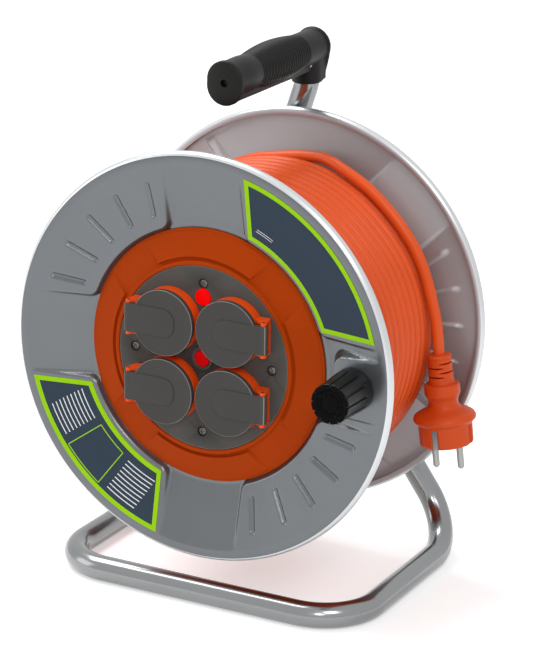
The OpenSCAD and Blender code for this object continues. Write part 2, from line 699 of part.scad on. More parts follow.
module at_plug() placed() translate(plug_top) rotate([0, -plug_tilt, 0]) children();
module plug_relief() at_plug() color("#e0591f") difference() {
    union() {
        translate([0, 0, -relief_len])
            cylinder(r1 = relief_r + 0.4, r2 = relief_r - 0.4, h = relief_len - 2);
        disc(relief_r, -2.01, 0);
    }
    for (i = [0 : 3]) rotate([0, 0, relief_turn + 90 * (i % 2)])
        for (s = [0, 180]) rotate([0, 0, s]) box([4.6, -7, -6.2 - 3.2 * i], [12, 7, -5 - 3.2 * i]);
}
module plug_body() at_plug() color("#e0591f") difference() {
    rotate_extrude() polygon([
        [0, -relief_len], [12, -relief_len], [12.6, -relief_len - 1.2], [12.6, -relief_len - 8],
        [11.6, -relief_len - 9], [10.4, -relief_len - 13], [11, nose_top + 4], [18, nose_top + 0.6],
        [plug_disc_d / 2 - 1, nose_top - 1.4], [plug_disc_d / 2, nose_top - 3.5],
            [plug_disc_d / 2 - 1, nose_top - 6],
        [plug_nose_d / 2, nose_top - 7], [plug_nose_d / 2, -plug_len + 1],
            [plug_nose_d / 2 - 1, -plug_len], [0, -plug_len]
    ]);
    // Pockets for the pins
    for (s = [-1, 1]) translate([s * contact_pitch / 2, 0])
        disc(plug_pin_d / 2 - 0.25, -plug_len - 1, -plug_len + 10);
    // Guide grooves at the sides and seats for the earth contacts
    for (s = [0, 180]) rotate([0, 0, s]) {
        box([plug_nose_d / 2 - 2, -2.7, -plug_len - 1], [plug_nose_d, 2.7, nose_top - 9]);
        rotate([0, 0, 90]) box([plug_nose_d / 2 - 1.4, -2.6, -plug_len - 1],
            [plug_nose_d, 2.6, nose_top - 8.5]);
    }
}
module plug_pins() at_plug() color("gainsboro") for (s = [-1, 1]) translate([s * contact_pitch / 2, 0]) {
    disc(plug_pin_d / 2, -plug_len - plug_pin_len + 1.2, -plug_len - 0.02);
    disc(plug_pin_d / 2 - 0.27, -plug_len - 0.03, -plug_len + 9.9);
    translate([0, 0, -plug_len - plug_pin_len])
        cylinder(r1 = plug_pin_d / 2 - 1.1, r2 = plug_pin_d / 2, h = 1.2);
}
module plug_earth_contacts() at_plug() color("gainsboro") for (s = [90, 270]) rotate([0, 0, s])
    box([plug_nose_d / 2 - 1.38, -2, -plug_len + 0.5], [plug_nose_d / 2 - 0.5, 2, nose_top - 9]);

// ---- Bezel and socket plate ----

module panel_sector() let(h0 = panel_span / 2, h1 = panel_span / 2 + panel_flare / 2)
    translate([0, 0, -dish_depth]) linear_extrude(height = dish_depth + 5) polygon([
        on_ring(groove_r, -h0), on_ring(bezel_r, -h1), [bezel_r * 1.3, 0],
        on_ring(bezel_r, h1), on_ring(groove_r, h0)
    ]);
module bezel_ring() at_front() color("#b8460c") difference() {
    union() {
        rotate_extrude($fn = 180) polygon([
            [ledge_r, plate_a - plate_t - ledge_t - 0.02],
                [plate_r + 1.2, plate_a - plate_t - ledge_t - 0.02],
            [plate_r + 1.2, -24], [bore_r - 0.4, -24], [bore_r - 0.4, -dish_depth + 0.02],
            [bezel_r, -dish_depth + 0.02], [bezel_r, bezel_edge - dish_depth],
                [lip_r + 0.6, bezel_in - 0.6],
            [lip_r, lip_a], [plate_r + plate_gap, lip_a], [plate_r + plate_gap, plate_a - plate_t - 0.02],
            [ledge_r, plate_a - plate_t - 0.02]
        ]);
        intersection() {
            rotate_extrude($fn = 180) polygon([
                [groove_r, -dish_depth + 1], [groove_r, bezel_in + panel_rise],
                [bezel_r - 1.5, bezel_edge - dish_depth + panel_rise * 0.4],
                [bezel_r - 1.5, -dish_depth + 1]
            ]);
            for (k = [0 : 3]) rotate([0, 0, k * 90]) panel_sector();
        }
    }
    // Room behind the bezel for the screw heads
    ring(bore_r + 10, bore_r + 0.6, -dish_depth - 1, -dish_depth + 2.8);
}

module socket_plate() at_front() color("#464340") difference() {
    union() {
        disc(plate_r, plate_a - plate_t, plate_a);
        ring(8.4, lamp_d / 2 + 0.2, plate_a - 1, plate_a + 0.8);
    }
    for (p = sockets) translate([p.x, p.y]) disc(socket_hole_r + 0.1, plate_a - 5, plate_a + 5);
    around(4, screw_r, 90) {
        disc(1.8, plate_a - 5, 0);
        disc(3.6, plate_a - 1.6, 0);
    }
    translate([0, lamp_z]) disc(lamp_d / 2 + 0.2, plate_a - 5, 0);
    disc(lamp_d / 2 + 0.2, plate_a - 5, 5);
}
module plate_screws() at_front() color("silver")
    around(4, screw_r, 90) translate([0, 0, plate_a - 1.6 + 0.02]) pan_screw(3.1, 14, 5.6, 1.5);

module socket_place(k) translate([sockets[k].x, sockets[k].y]) rotate([0, 0, sockets[k].x < 0 ? 180 : 0])
    children();

module socket_shell(k) at_front() color("#d84e16") socket_place(k) difference() {
    union() {
        disc(collar_d / 2, plate_a + 0.02, collar_a);
        disc(socket_hole_r, socket_back, plate_a + 1);
    }
    disc(well_d / 2, well_a, collar_a + 5);
    for (s = [-1, 1]) translate([s * contact_pitch / 2, 0]) {
        disc(contact_d / 2, well_a - 4, well_a + 1);
        disc(contact_sleeve_r + 0.05, socket_back - 1, well_a - 3);
    }
    // Slots for the earth clips
    for (s = [90, 270]) rotate([0, 0, s])
        box([well_d / 2 - 3.2, -2.2, well_a - 7], [well_d / 2 + 0.9, 2.2, collar_a - 3]);
    // The well keeps clear of the lid tongue
    box([ear_x0 - 1, -tongue_w / 2 - ear_gap, collar_a - 0.6],
        [hinge_x + 4, tongue_w / 2 + ear_gap, collar_a + 10]);
}
module socket_1() socket_shell(0);
module socket_2() socket_shell(1);
module socket_3() socket_shell(2);
module socket_4() socket_shell(3);

// Hinge brackets: a foot on the plate, two ears and an outer strip
module hinge_bracket(k) difference() {
    w = tongue_w / 2 + ear_gap + ear_t;
    socket_place(k) difference() {
        union() {
            box([collar_d / 2 - 3, -w, plate_a + 0.02], [strip_x + strip_t, w, plate_a + 1]);
            box([strip_x, -w, plate_a + 0.02], [strip_x + strip_t, w, plate_a + strip_h]);
            // Ears that rise from the collar to a round eye for the pin
            for (s = [-1, 1]) translate([0, s * (w - ear_t / 2)]) rotate([90, 0, 0])
                linear_extrude(height = ear_t, center = true) polygon(concat(
                    [[ear_x0, plate_a + 0.02], [ear_x0, collar_a], [hinge_x - 3, collar_a + 1.8]],
                    [for (a = [120 : -15 : -15]) [hinge_x, hinge_a] + on_ring(ear_top, a)],
                    [[strip_x + strip_t, plate_a + 0.02]]
                ));
        }
        disc(collar_d / 2 + 0.05, plate_a - 1, collar_a + 1);
        // Pin holes in the ears
        translate([hinge_x, w + 1, hinge_a]) rotate([90, 0, 0])
            cylinder(r = pin_d / 2 + 0.02, h = 2 * w + 2);
    }
    // The bracket stands clear of the lip of the bezel
    ring(plate_r + 10, plate_r - 0.2, plate_a - 1, lip_a + 0.25);
}
module hinge_brackets() at_front() color("#d84e16") for (k = [0 : 3]) hinge_bracket(k);

module contact_sleeves() at_front() color("goldenrod") for (k = [0 : 3]) socket_place(k)
    for (s = [-1, 1]) translate([s * contact_pitch / 2, 0])
        ring(contact_sleeve_r, plug_pin_d / 2 + 0.1, socket_back + 2, well_a - 3.05);
module earth_clips() at_front() color("gainsboro") for (k = [0 : 3]) socket_place(k)
    for (s = [90, 270]) rotate([0, 0, s]) {
        box([well_d / 2 - 0.7, -1.9, well_a - 6], [well_d / 2 + 0.3, 1.9, collar_a - 3.5]);
        box([well_d / 2 - 3, -1.9, well_a - 6.9], [well_d / 2 + 0.3, 1.9, well_a - 5.9]);
    }
module hinge_pins() at_front() color("silver") for (k = [0 : 3]) socket_place(k)
    translate([hinge_x, 0, hinge_a]) rotate([90, 0, 0])
        translate([0, 0, -tongue_w / 2 - ear_gap - ear_t])
            cylinder(r = pin_d / 2, h = tongue_w + 2 * (ear_gap + ear_t));
module lid_springs() at_front() color("dimgray") for (k = [0 : 3]) socket_place(k)
    translate([hinge_x, 0, hinge_a]) rotate([90, 0, 0]) ring(pin_d / 2 + 0.5, pin_d / 2 + 0.02, -5.8, 5.8);

module lid(k) at_front() color("#4c4c49") socket_place(k) difference() {
    union() {
        disc(lid_d / 2, lid_a, lid_a + lid_t - 0.6);
        translate([0, 0, lid_a + lid_t - 0.6]) cylinder(r1 = lid_d / 2, r2 = lid_d / 2 - 0.6, h = 0.6);
        // Raised tongue that carries the hinge barrel
        translate([0, 0, lid_a + 1]) linear_extrude(height = lid_t + tongue_rise - 1) polygon(concat(
            [[hinge_x, -tongue_w / 2], [hinge_x, tongue_w / 2]],
            [for (a = [90 : 15 : 180])
                [tongue_end + tongue_corner, tongue_w / 2 - tongue_corner] + on_ring(tongue_corner, a)],
            [for (a = [180 : 15 : 270])
                [tongue_end + tongue_corner, tongue_corner - tongue_w / 2] + on_ring(tongue_corner, a)]
        ));
        translate([hinge_x, 0, hinge_a]) rotate([90, 0, 0]) translate([0, 0, -tongue_w / 2])
            cylinder(r = barrel_pin_r - 0.02, h = tongue_w);
    }
    translate([hinge_x, 0, hinge_a]) rotate([90, 0, 0]) {
        translate([0, 0, -tongue_w]) cylinder(r = pin_d / 2 + fit, h = 2 * tongue_w);
        disc(pin_d / 2 + 0.6, -6, 6);
    }
    // Groove for the gasket
    ring(well_d / 2 + 2, well_d / 2 + 0.4, lid_a - 1, lid_a + gasket_t);
}
module lid_1() lid(0);
module lid_2() lid(1);
module lid_3() lid(2);
module lid_4() lid(3);

module lid_gasket(k) at_front() color("#1c1c1c") socket_place(k)
    ring(well_d / 2 + 1.95, well_d / 2 + 0.45, lid_a - lid_gap + 0.1, lid_a + gasket_t - 0.02);
module lid_gasket_1() lid_gasket(0);
module lid_gasket_2() lid_gasket(1);
module lid_gasket_3() lid_gasket(2);
module lid_gasket_4() lid_gasket(3);

// ---- Thermal cut-out, lamp and wiring ----

module breaker_body() at_front() color("#222222") difference() {
    union() {
        box([-9, -7, breaker_a - 30], [9, 7, breaker_a]);
    }
    disc(lamp_d / 2 - 1, breaker_a - 14, plate_a + 5);
}
module reset_button() at_front() color("#c00000") {
    disc(lamp_d / 2 - 0.1, plate_a - 0.3 + button_travel - 2.4, button_face);
    disc(button_stem / 2, breaker_a - 5, plate_a);
}
module button_spring() at_front() color("dimgray")
    ring(3.4, 2.6, breaker_a - 13.9, breaker_a - 5 - button_travel - 0.1);

module lamp_lens() at_front() color("red") translate([0, lamp_z]) {
    disc(lamp_d / 2, plate_a - plate_t + 0.02, plate_a + 0.6);
    translate([0, 0, plate_a + 0.6]) cylinder(r1 = lamp_d / 2, r2 = lamp_d / 2 - 1.2, h = 0.5);
}
module lamp_body() at_front() color("whitesmoke") translate([0, lamp_z]) difference() {
    disc(lamp_d / 2 - 0.1, plate_a - plate_t - 24, plate_a - plate_t);
    disc(4, plate_a - plate_t - 22, plate_a);
}

module terminal_block() at_front() color("ivory") difference() {
    translate([0, 0, carrier_a - carrier_t]) box([-20, 26, -13], [20, 44, -0.02]);
    for (x = [-13, 0, 13]) translate([x, 35, carrier_a - carrier_t - 10]) rotate([90, 0, 0])
        cylinder(r = 2.2, h = 30, center = true);
    for (x = [-13, 0, 13]) translate([x, 31, carrier_a - carrier_t - 14]) cylinder(r = 1.8, h = 6);
}
lead_line = smooth([
    [barrel_r * cos(inlet_a) * 0.985, inlet_y, barrel_r * sin(inlet_a) * 0.985],
    [32, inlet_y, 55.4], [24, inlet_y - 3, 50], [12, inlet_y - 14, 50], [3, -4, 49], [0, -14.2, 47.8]
], 3);
module inner_lead() placed() color("#e0591f") swept(lead_line, cable_r - 0.2, 8);
module cable_clamp() placed() color("#222222") rotate([0, inlet_a * -1 + 90, 0])
    translate([0, inlet_y, barrel_r - barrel_wall - 6]) difference() {
    cylinder(r = 9, h = 5.2);
    translate([0, 0, -1]) cylinder(r = cable_r, h = 20);
}

// ---- Knob ----

module at_knob() at_front() translate([knob_x, 0, 0]) children();
module knob_bolt() at_knob() color("silver") {
    disc(bolt_d / 2, -9, knob_a + knob_len - cap_t - bolt_head_h - 1);
    translate([0, 0, knob_a + knob_len - cap_t - bolt_head_h - 1.02])
        cylinder(r = bolt_head_d / 2, h = bolt_head_h, $fn = 6);
    ring(bolt_head_d / 2 + 1, bolt_d / 2 - 0.5, rim_out + 0.02, knob_a - 0.05);
}
module knob_nut() at_knob() color("silver") difference() {
    union() {
        translate([0, 0, rim_out - flange_t - 8.5]) cylinder(r = 7.5, h = 6.5, $fn = 6);
        disc(9, rim_out - flange_t - 2, rim_out - flange_t - 0.02);
    }
    disc(bolt_d / 2 + 0.02, -20, 20);
}
module knob_grip() at_knob() color("#151515") difference() {
    translate([0, 0, knob_a]) rotate_extrude() polygon([
        [0, 0], [knob_d / 2 - 1, 0], [knob_d / 2, 1], [knob_d / 2, 7], [knob_d / 2 - 1.6, 9],
        [knob_front_d / 2 + 0.4, knob_len - 6], [knob_front_d / 2 + 0.4, knob_len - 1],
            [knob_front_d / 2 - 0.6, knob_len], [0, knob_len]
    ]);
    around(knob_flutes, knob_front_d / 2 + 1.4, 15) translate([0, 0, knob_a + 9])
        cylinder(r = 2.3, h = knob_len);
    disc(bolt_d / 2 + fit, 0, knob_a + knob_len + 1);
    disc(bolt_head_d / 2 + 0.8, knob_a + knob_len - cap_t - bolt_head_h - 1.1, knob_a + knob_len + 1);
    disc(cap_d / 2, knob_a + knob_len - cap_t, knob_a + knob_len + 1);
}
module knob_cap() at_knob() color("#1c1c1c")
    disc(cap_d / 2 - 0.02, knob_a + knob_len - cap_t + 0.02, knob_a + knob_len - 0.5);

stand_tube();
handle_grip();
axle();
axle_spacer();
thrust_washer();
axle_circlip();
axle_nut();
front_flange();
rear_flange();
drum_barrel();
rear_hub();
hub_bush();
front_screws();
rear_screws();
socket_carrier();
carrier_screws();
winding_core();
winding();
free_cord();
plug_relief();
plug_body();
plug_pins();
plug_earth_contacts();
bezel_ring();
socket_plate();
plate_screws();
socket_1();
socket_2();
socket_3();
socket_4();
hinge_brackets();
contact_sleeves();
earth_clips();
hinge_pins();
lid_springs();
lid_1();
lid_2();
lid_3();
lid_4();
lid_gasket_1();
lid_gasket_2();
lid_gasket_3();
lid_gasket_4();
breaker_body();
reset_button();
button_spring();
lamp_lens();
lamp_body();
terminal_block();
inner_lead();
cable_clamp();
label_upper();
label_lower();
knob_bolt();
knob_nut();
knob_grip();
knob_cap();
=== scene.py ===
import math
import bmesh
import bpy
import numpy as np
from mathutils import Matrix, Vector


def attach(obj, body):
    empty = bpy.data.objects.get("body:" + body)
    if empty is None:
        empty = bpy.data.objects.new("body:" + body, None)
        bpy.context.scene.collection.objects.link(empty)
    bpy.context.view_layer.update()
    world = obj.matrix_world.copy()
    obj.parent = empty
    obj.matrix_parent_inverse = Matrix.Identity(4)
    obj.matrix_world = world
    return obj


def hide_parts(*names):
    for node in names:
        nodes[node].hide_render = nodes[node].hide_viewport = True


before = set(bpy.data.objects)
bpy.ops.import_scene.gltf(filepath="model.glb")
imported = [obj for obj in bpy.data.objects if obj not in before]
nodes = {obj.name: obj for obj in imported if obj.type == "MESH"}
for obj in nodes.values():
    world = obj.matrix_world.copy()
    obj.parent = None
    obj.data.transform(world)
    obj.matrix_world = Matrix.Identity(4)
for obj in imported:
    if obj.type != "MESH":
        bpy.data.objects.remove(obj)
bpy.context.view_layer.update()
print("frame loaded")

# sizes below are millimetres; the places turn them into metres on the floor
reel = {"axleHeight": 179.0, "halfWidth": 75.0, "shift": 0.2}  # shift: drum's middle to the rear
toMetres = Matrix.Scale(0.001, 4)
midPlace = toMetres @ Matrix.Translation((0, reel["shift"], reel["axleHeight"]))
frontPlace, rearPlace = (
    midPlace @ Matrix.Translation((0, y, 0)) @ Matrix.Rotation(turn, 4, "Z") @ Matrix.Rotation(math.pi / 2, 4, "X")
    for y, turn in ((-reel["halfWidth"], 0), (reel["halfWidth"], math.pi))
)


# camera: where it stands in metres, and its three axes
cameraView = {
    "place": (0.88447, -1.66682, 0.79631),
    "right": (0.883317, 0.468522, 0.015415),
    "up": (-0.159487, 0.269439, 0.949719),
    "back": (0.440811, -0.841362, 0.312724),
    "lens": 151.71,
}


def makeCamera(view):
    data = bpy.data.cameras.new("reelCamera")
    data.lens, data.sensor_width, data.sensor_fit = view["lens"], 36, "AUTO"
    data.clip_start, data.clip_end = 0.05, 60
    cam = bpy.data.objects.new("reelCamera", data)
    axes = Matrix([view[k] for k in ("right", "up", "back")]).transposed()
    cam.matrix_world = Matrix.Translation(view["place"]) @ axes.to_4x4()
    bpy.context.scene.collection.objects.link(cam)
    bpy.context.scene.camera = cam


makeCamera(cameraView)
print("camera set")


# helpers for meshes: outlines, profiles and lines are in millimetres
def around(count):  # even angles round a circle
    return np.arange(count) * 2 * math.pi / count


def unit(v):  # one vector, or rows of them, at length 1
    return v / np.linalg.norm(v, axis=-1, keepdims=True)


def ramp(t):  # soft step from 0 to 1
    t = np.clip(t, 0, 1)
    return t * t * (3 - 2 * t)


def softCorners(points, radius, steps=4):  # rounds the corners of an open line of (a, b) points
    pts = [np.array(p, float) for p in points]
    out = [pts[0]]
    for a, b, c in zip(pts, pts[1:], pts[2:]):
        u, v = a - b, c - b
        lu, lv = np.linalg.norm(u), np.linalg.norm(v)
        if lu < 1e-6 or lv < 1e-6:
            continue
        d = min(radius, lu * 0.45, lv * 0.45)
        p, q = b + u / lu * d, b + v / lv * d
        for i in range(steps + 1):
            t = i / steps
            out.append((1 - t) ** 2 * p + 2 * t * (1 - t) * b + t * t * q)
    out.append(pts[-1])
    return np.array(out)


def spread(line, step):  # adds points so that no stretch is longer than step
    line = np.array(line, float)
    out = [line[0]]
    for a, b in zip(line, line[1:]):
        n = max(1, int(math.ceil(np.linalg.norm(b - a) / step)))
        out += [a + (b - a) * i / n for i in range(1, n + 1)]
    return np.array(out)


def turned(profile, sides, carve=None):  # rings round Z; carve changes radius or height
    r = np.repeat(profile[:, :1], sides, 1)
    z = np.repeat(profile[:, 1:2], sides, 1)
    a = np.repeat(around(sides)[None, :], len(profile), 0)
    if carve:
        r, z = carve(r, z, a)
    return np.stack([r * np.cos(a), r * np.sin(a), z], 2)


def ringFaces(rows, cols, loop=False):
    i = np.arange(rows if loop else rows - 1)[:, None]
    j = np.arange(cols)[None, :]
    k, n = (j + 1) % cols, (i + 1) % rows
    return np.stack([i * cols + j, i * cols + k, n * cols + k, n * cols + j], 2).reshape(-1, 4)


def capped(rows, cols):  # faces of a closed tube: the rings and both ends
    return ringFaces(rows, cols).tolist() + [list(range(cols))[::-1], list(range((rows - 1) * cols, rows * cols))]


def clean(mesh, merge=0.0, sharp=None):  # joins doubles, turns faces outwards, smooths up to an angle
    bm = bmesh.new()
    bm.from_mesh(mesh)
    if merge:
        bmesh.ops.remove_doubles(bm, verts=bm.verts, dist=merge)
        bmesh.ops.dissolve_degenerate(bm, edges=bm.edges, dist=1e-7)
    bmesh.ops.recalc_face_normals(bm, faces=bm.faces)
    if sharp is not None:
        for f in bm.faces:
            f.smooth = True
        for e in bm.edges:
            e.smooth = len(e.link_faces) == 2 and e.calc_face_angle(0) < math.radians(sharp)
    bm.to_mesh(mesh)
    bm.free()


def meshOf(name, parts, place, sharp=38.0):  # parts: (vertices, faces)
    mesh = bpy.data.meshes.new(name)
    verts, faces, base = [], [], 0
    for v, f in parts:
        v = np.array(v, float).reshape(-1, 3)
        verts += v.tolist()
        faces += [tuple(int(x) + base for x in q) for q in f]
        base += len(v)
    mesh.from_pydata(verts, [], faces)
    mesh.transform(place)
    clean(mesh, 2e-7, sharp)
    return mesh


def piece(name, parts, place, body, material, cad=(), sharp=38.0):
    return settle(bareObject(name, meshOf(name, parts, place, sharp)), body, material, cad)


def settle(obj, body, material, cad=()):
    if material is not None and not obj.data.materials:
        obj.data.materials.append(material)
    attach(obj, body)
    if cad:
        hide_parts(*cad)
    return obj


def lookOf(obj, place, look, chosen):  # second look for the faces whose middle is chosen, in the place's frame
    obj.data.materials.append(m[look])
    back = place.inverted()
    for poly in obj.data.polygons:
        poly.material_index = int(chosen(back @ poly.center))


def rowsTurned(rows, sides):  # closed skin from rows of a radius with one height, or with a height for each angle
    c, s = np.cos(around(sides)), np.sin(around(sides))
    grid = np.stack([np.stack([r * c, r * s, 0 * c + z], 1) for r, z in rows])
    return grid.reshape(-1, 3), ringFaces(len(rows), sides, True)


def lathe(profile, sides, carve=None, loop=False):
    p = np.array(profile, float)
    g = turned(p, sides, carve)
    return g.reshape(-1, 3), ringFaces(len(p), sides, loop)


def moved(part, place):
    return np.array([place @ Vector(p) for p in part[0]]), part[1]


def inset(outline, d):  # moves a closed counterclockwise outline inwards
    p = np.array(outline, float)
    t1, t2 = unit(p - np.roll(p, 1, 0)), unit(np.roll(p, -1, 0) - p)
    n1, n2 = np.stack([-t1[:, 1], t1[:, 0]], 1), np.stack([-t2[:, 1], t2[:, 0]], 1)
    n = n1 + n2
    n /= np.maximum(np.linalg.norm(n, axis=1), 1e-6)[:, None]
    return p + n * d / np.maximum((n * n1).sum(1), 0.4)[:, None]


def slab(outline, z0, z1, edge=0.5, steps=4):  # a plate with rounded edges
    turns = [math.pi / 2 * i / steps for i in range(steps + 1)]
    rings = [(edge * (1 - math.sin(t)), z0 + edge * (1 - math.cos(t))) for t in turns]
    rings += [(edge * (1 - math.cos(t)), z1 - edge * (1 - math.sin(t))) for t in turns]
    return levels([(inset(outline, d), z) for d, z in rings]), capped(len(rings), len(outline))


def circle(radius, sides, up=0.0):  # closed outline, counterclockwise
    return np.column_stack([radius * np.cos(around(sides)), radius * np.sin(around(sides)) + up])


def cornered(corners, steps):  # closed counterclockwise outline; corners: middle, first angle, radius
    return np.array([
        (x + r * math.cos(t), y + r * math.sin(t))
        for x, y, first, r in corners for t in np.radians(first + 90 * np.arange(steps + 1) / steps)
    ])


def roundBox(x0, x1, y0, y1, r, steps=5):
    corners = [(x1 - r, y0 + r, -90, r), (x1 - r, y1 - r, 0, r), (x0 + r, y1 - r, 90, r), (x0 + r, y0 + r, 180, r)]
    return cornered(corners, steps)


def roundLine(points, radii, step):  # line through points with true arcs at its corners
    p = [np.array(q, float) for q in points]
    out = [p[0]]
    for i in range(1, len(p) - 1):
        a, b = unit(p[i] - p[i - 1]), unit(p[i + 1] - p[i])
        turn = math.acos(np.clip(a @ b, -1, 1))
        n = unit(b - a * (a @ b))
        c = p[i] - a * radii[i] * math.tan(turn / 2) + n * radii[i]
        k = max(3, int(math.degrees(turn) / step))
        out += [c + radii[i] * (-n * math.cos(turn * j / k) + a * math.sin(turn * j / k)) for j in range(k + 1)]
    out.append(p[-1])
    return np.array(out)


def inRoom(points):  # points about the drum's middle, set on the floor in metres
    return [tuple(midPlace @ Vector(p)) for p in points]


def smoothLine(points, fine):  # Catmull-Rom line through points
    p = np.array(points, float)
    out = []
    for i in range(len(p) - 1):
        a, b, c, d = p[max(i - 1, 0)], p[i], p[i + 1], p[min(i + 2, len(p) - 1)]
        for k in range(fine):
            t = k / fine
            bend, twist = 2 * a - 5 * b + 4 * c - d, 3 * b - 3 * c + d - a
            out.append(0.5 * (2 * b + (c - a) * t + bend * t * t + twist * t ** 3))
    out.append(p[-1])
    return np.array(out)


def tube(line, radius, sides=20):  # closed round tube along a line
    line = np.array(line, float)
    tangents = unit(np.gradient(line, axis=0))
    side = np.cross(tangents[0], (0, 1, 0) if abs(tangents[0][1]) < 0.9 else (1, 0, 0))
    rows = []
    for p, t in zip(line, tangents):
        side = unit(side - t * (side @ t))
        rows.append(p + circle(radius, sides) @ np.array([side, np.cross(t, side)]))
    return np.concatenate(rows), capped(len(rows), sides)


# helpers for node trees
def wire(tree, *pairs):  # links, each from an output to an input
    for source, target in pairs:
        tree.links.new(source, target)


def mathNode(tree, operation, *values):  # works on numbers and on outputs of nodes; gives its own output
    n = tree.nodes.new("ShaderNodeMath")
    n.operation = operation
    for socket, value in zip(n.inputs, values):
        if isinstance(value, (int, float)):
            socket.default_value = value
        else:
            tree.links.new(value, socket)
    return n.outputs[0]


def newTree(name, **inputs):
    tree = bpy.data.node_groups.new(name, "GeometryNodeTree")
    tree.interface.new_socket("Geometry", in_out="INPUT", socket_type="NodeSocketGeometry")
    for label, kind in inputs.items():
        tree.interface.new_socket(label, in_out="INPUT", socket_type="NodeSocket" + kind)
    tree.interface.new_socket("Material", in_out="INPUT", socket_type="NodeSocketMaterial")
    tree.interface.new_socket("Geometry", in_out="OUTPUT", socket_type="NodeSocketGeometry")
    return tree, tree.nodes.new("NodeGroupInput"), tree.nodes.new("NodeGroupOutput")


def finishTree(tree, start, end, geometry):  # shade, realize, set material
    for kind in ("SetShadeSmooth", "RealizeInstances", "SetMaterial"):
        step = tree.nodes.new("GeometryNode" + kind)
        tree.links.new(geometry, step.inputs["Geometry"])
        geometry = step.outputs["Geometry"]
    wire(tree, (start.outputs["Material"], step.inputs["Material"]), (geometry, end.inputs["Geometry"]))
    return tree


def pathTree():  # a round tube along the edges of the input
    tree, start, end = newTree("tubeAlongPath", Radius="Float", Sides="Int")
    toCurve = tree.nodes.new("GeometryNodeMeshToCurve")
    ring = tree.nodes.new("GeometryNodeCurvePrimitiveCircle")
    sweep = tree.nodes.new("GeometryNodeCurveToMesh")
    sweep.inputs["Fill Caps"].default_value = True
    wire(
        tree, (start.outputs["Geometry"], toCurve.inputs["Mesh"]), (start.outputs["Radius"], ring.inputs["Radius"]),
        (start.outputs["Sides"], ring.inputs["Resolution"]), (toCurve.outputs["Curve"], sweep.inputs["Curve"]),
        (ring.outputs["Curve"], sweep.inputs["Profile Curve"]),
    )
    return finishTree(tree, start, end, sweep.outputs["Mesh"])


def ringTree():  # copies of the input on a circle round Z, each turned by chance
    tree, start, end = newTree("ringOfCopies", Count="Int", Radius="Float", firstAngle="Float")
    ring = tree.nodes.new("GeometryNodeMeshCircle")
    place = tree.nodes.new("GeometryNodeInstanceOnPoints")
    turn = tree.nodes.new("GeometryNodeTransform")
    chance = tree.nodes.new("FunctionNodeRandomValue")
    spin, first = (tree.nodes.new("ShaderNodeCombineXYZ") for _ in range(2))
    chance.inputs["Seed"].default_value = 7
    chance.inputs[2].default_value, chance.inputs[3].default_value = 0.0, 1.5
    wire(
        tree, (start.outputs["Count"], ring.inputs["Vertices"]), (start.outputs["Radius"], ring.inputs["Radius"]),
        (ring.outputs["Mesh"], place.inputs["Points"]), (start.outputs["Geometry"], place.inputs["Instance"]),
        (chance.outputs[1], spin.inputs["Z"]), (spin.outputs["Vector"], place.inputs["Rotation"]),
        (start.outputs["firstAngle"], first.inputs["Z"]), (place.outputs["Instances"], turn.inputs["Geometry"]),
        (first.outputs["Vector"], turn.inputs["Rotation"]),
    )
    return finishTree(tree, start, end, turn.outputs["Geometry"])


def ribTree():  # presses grooves along the attribute ribPhase where ribMask is 1
    tree, start, end = newTree("pressedRibs", Ribs="Float", Depth="Float")

    def attribute(name, kind="FLOAT"):
        n = tree.nodes.new("GeometryNodeInputNamedAttribute")
        n.data_type = kind
        n.inputs["Name"].default_value = name
        return n.outputs["Attribute"]

    phase = mathNode(tree, "MULTIPLY", attribute("ribPhase"), start.outputs["Ribs"])
    wave = mathNode(tree, "COSINE", mathNode(tree, "MULTIPLY", phase, 2 * math.pi))
    valley = mathNode(tree, "MULTIPLY_ADD", wave, 0.5, 0.5)
    masked = mathNode(tree, "MULTIPLY", valley, attribute("ribMask"))
    amount = mathNode(tree, "MULTIPLY", masked, start.outputs["Depth"])
    scale = tree.nodes.new("ShaderNodeVectorMath")
    scale.operation = "SCALE"
    place = tree.nodes.new("GeometryNodeSetPosition")
    wire(
        tree, (attribute("ribInward", "FLOAT_VECTOR"), scale.inputs[0]), (amount, scale.inputs["Scale"]),
        (start.outputs["Geometry"], place.inputs["Geometry"]), (scale.outputs[0], place.inputs["Offset"]),
    )
    return finishTree(tree, start, end, place.outputs["Geometry"])


def applyTree(obj, tree, values):  # runs the tree once and keeps its result as a plain mesh
    mod = obj.modifiers.new(tree.name, "NODES")
    mod.node_group = tree
    for item in tree.interface.items_tree:
        if item.in_out == "INPUT" and item.name in values:
            mod[item.identifier] = values[item.name]
    bpy.context.view_layer.update()
    ready = obj.evaluated_get(bpy.context.evaluated_depsgraph_get())
    mesh = bpy.data.meshes.new_from_object(ready)
    obj.modifiers.remove(mod)
    old = obj.data
    obj.data = mesh
    bpy.data.meshes.remove(old)
    return obj


def bareObject(name, data):
    obj = bpy.data.objects.new(name, data)
    bpy.context.scene.collection.objects.link(obj)
    return obj


def tubePiece(name, lines, radius, sides, material, body, cad=()):  # lines are in metres
    mesh = bpy.data.meshes.new(name)
    verts, edges = [], []
    for line in lines:
        base = len(verts)
        verts += [tuple(p) for p in line]
        edges += [(base + i, base + i + 1) for i in range(len(line) - 1)]
    mesh.from_pydata(verts, edges, [])
    obj = applyTree(bareObject(name, mesh), trees["path"], {"Radius": radius, "Sides": sides, "Material": material})
    clean(obj.data, 1e-7, 46)
    return settle(obj, body, None, cad)


trees = {"path": pathTree(), "ring": ringTree(), "ribs": ribTree()}
print("node trees ready")


# helpers for materials
def paint(r, g, b):  # screen colour 0-255 to the linear value of a shader
    return tuple(((v / 255 + 0.055) / 1.055) ** 2.4 if v > 10 else v / 255 / 12.92 for v in (r, g, b)) + (1,)


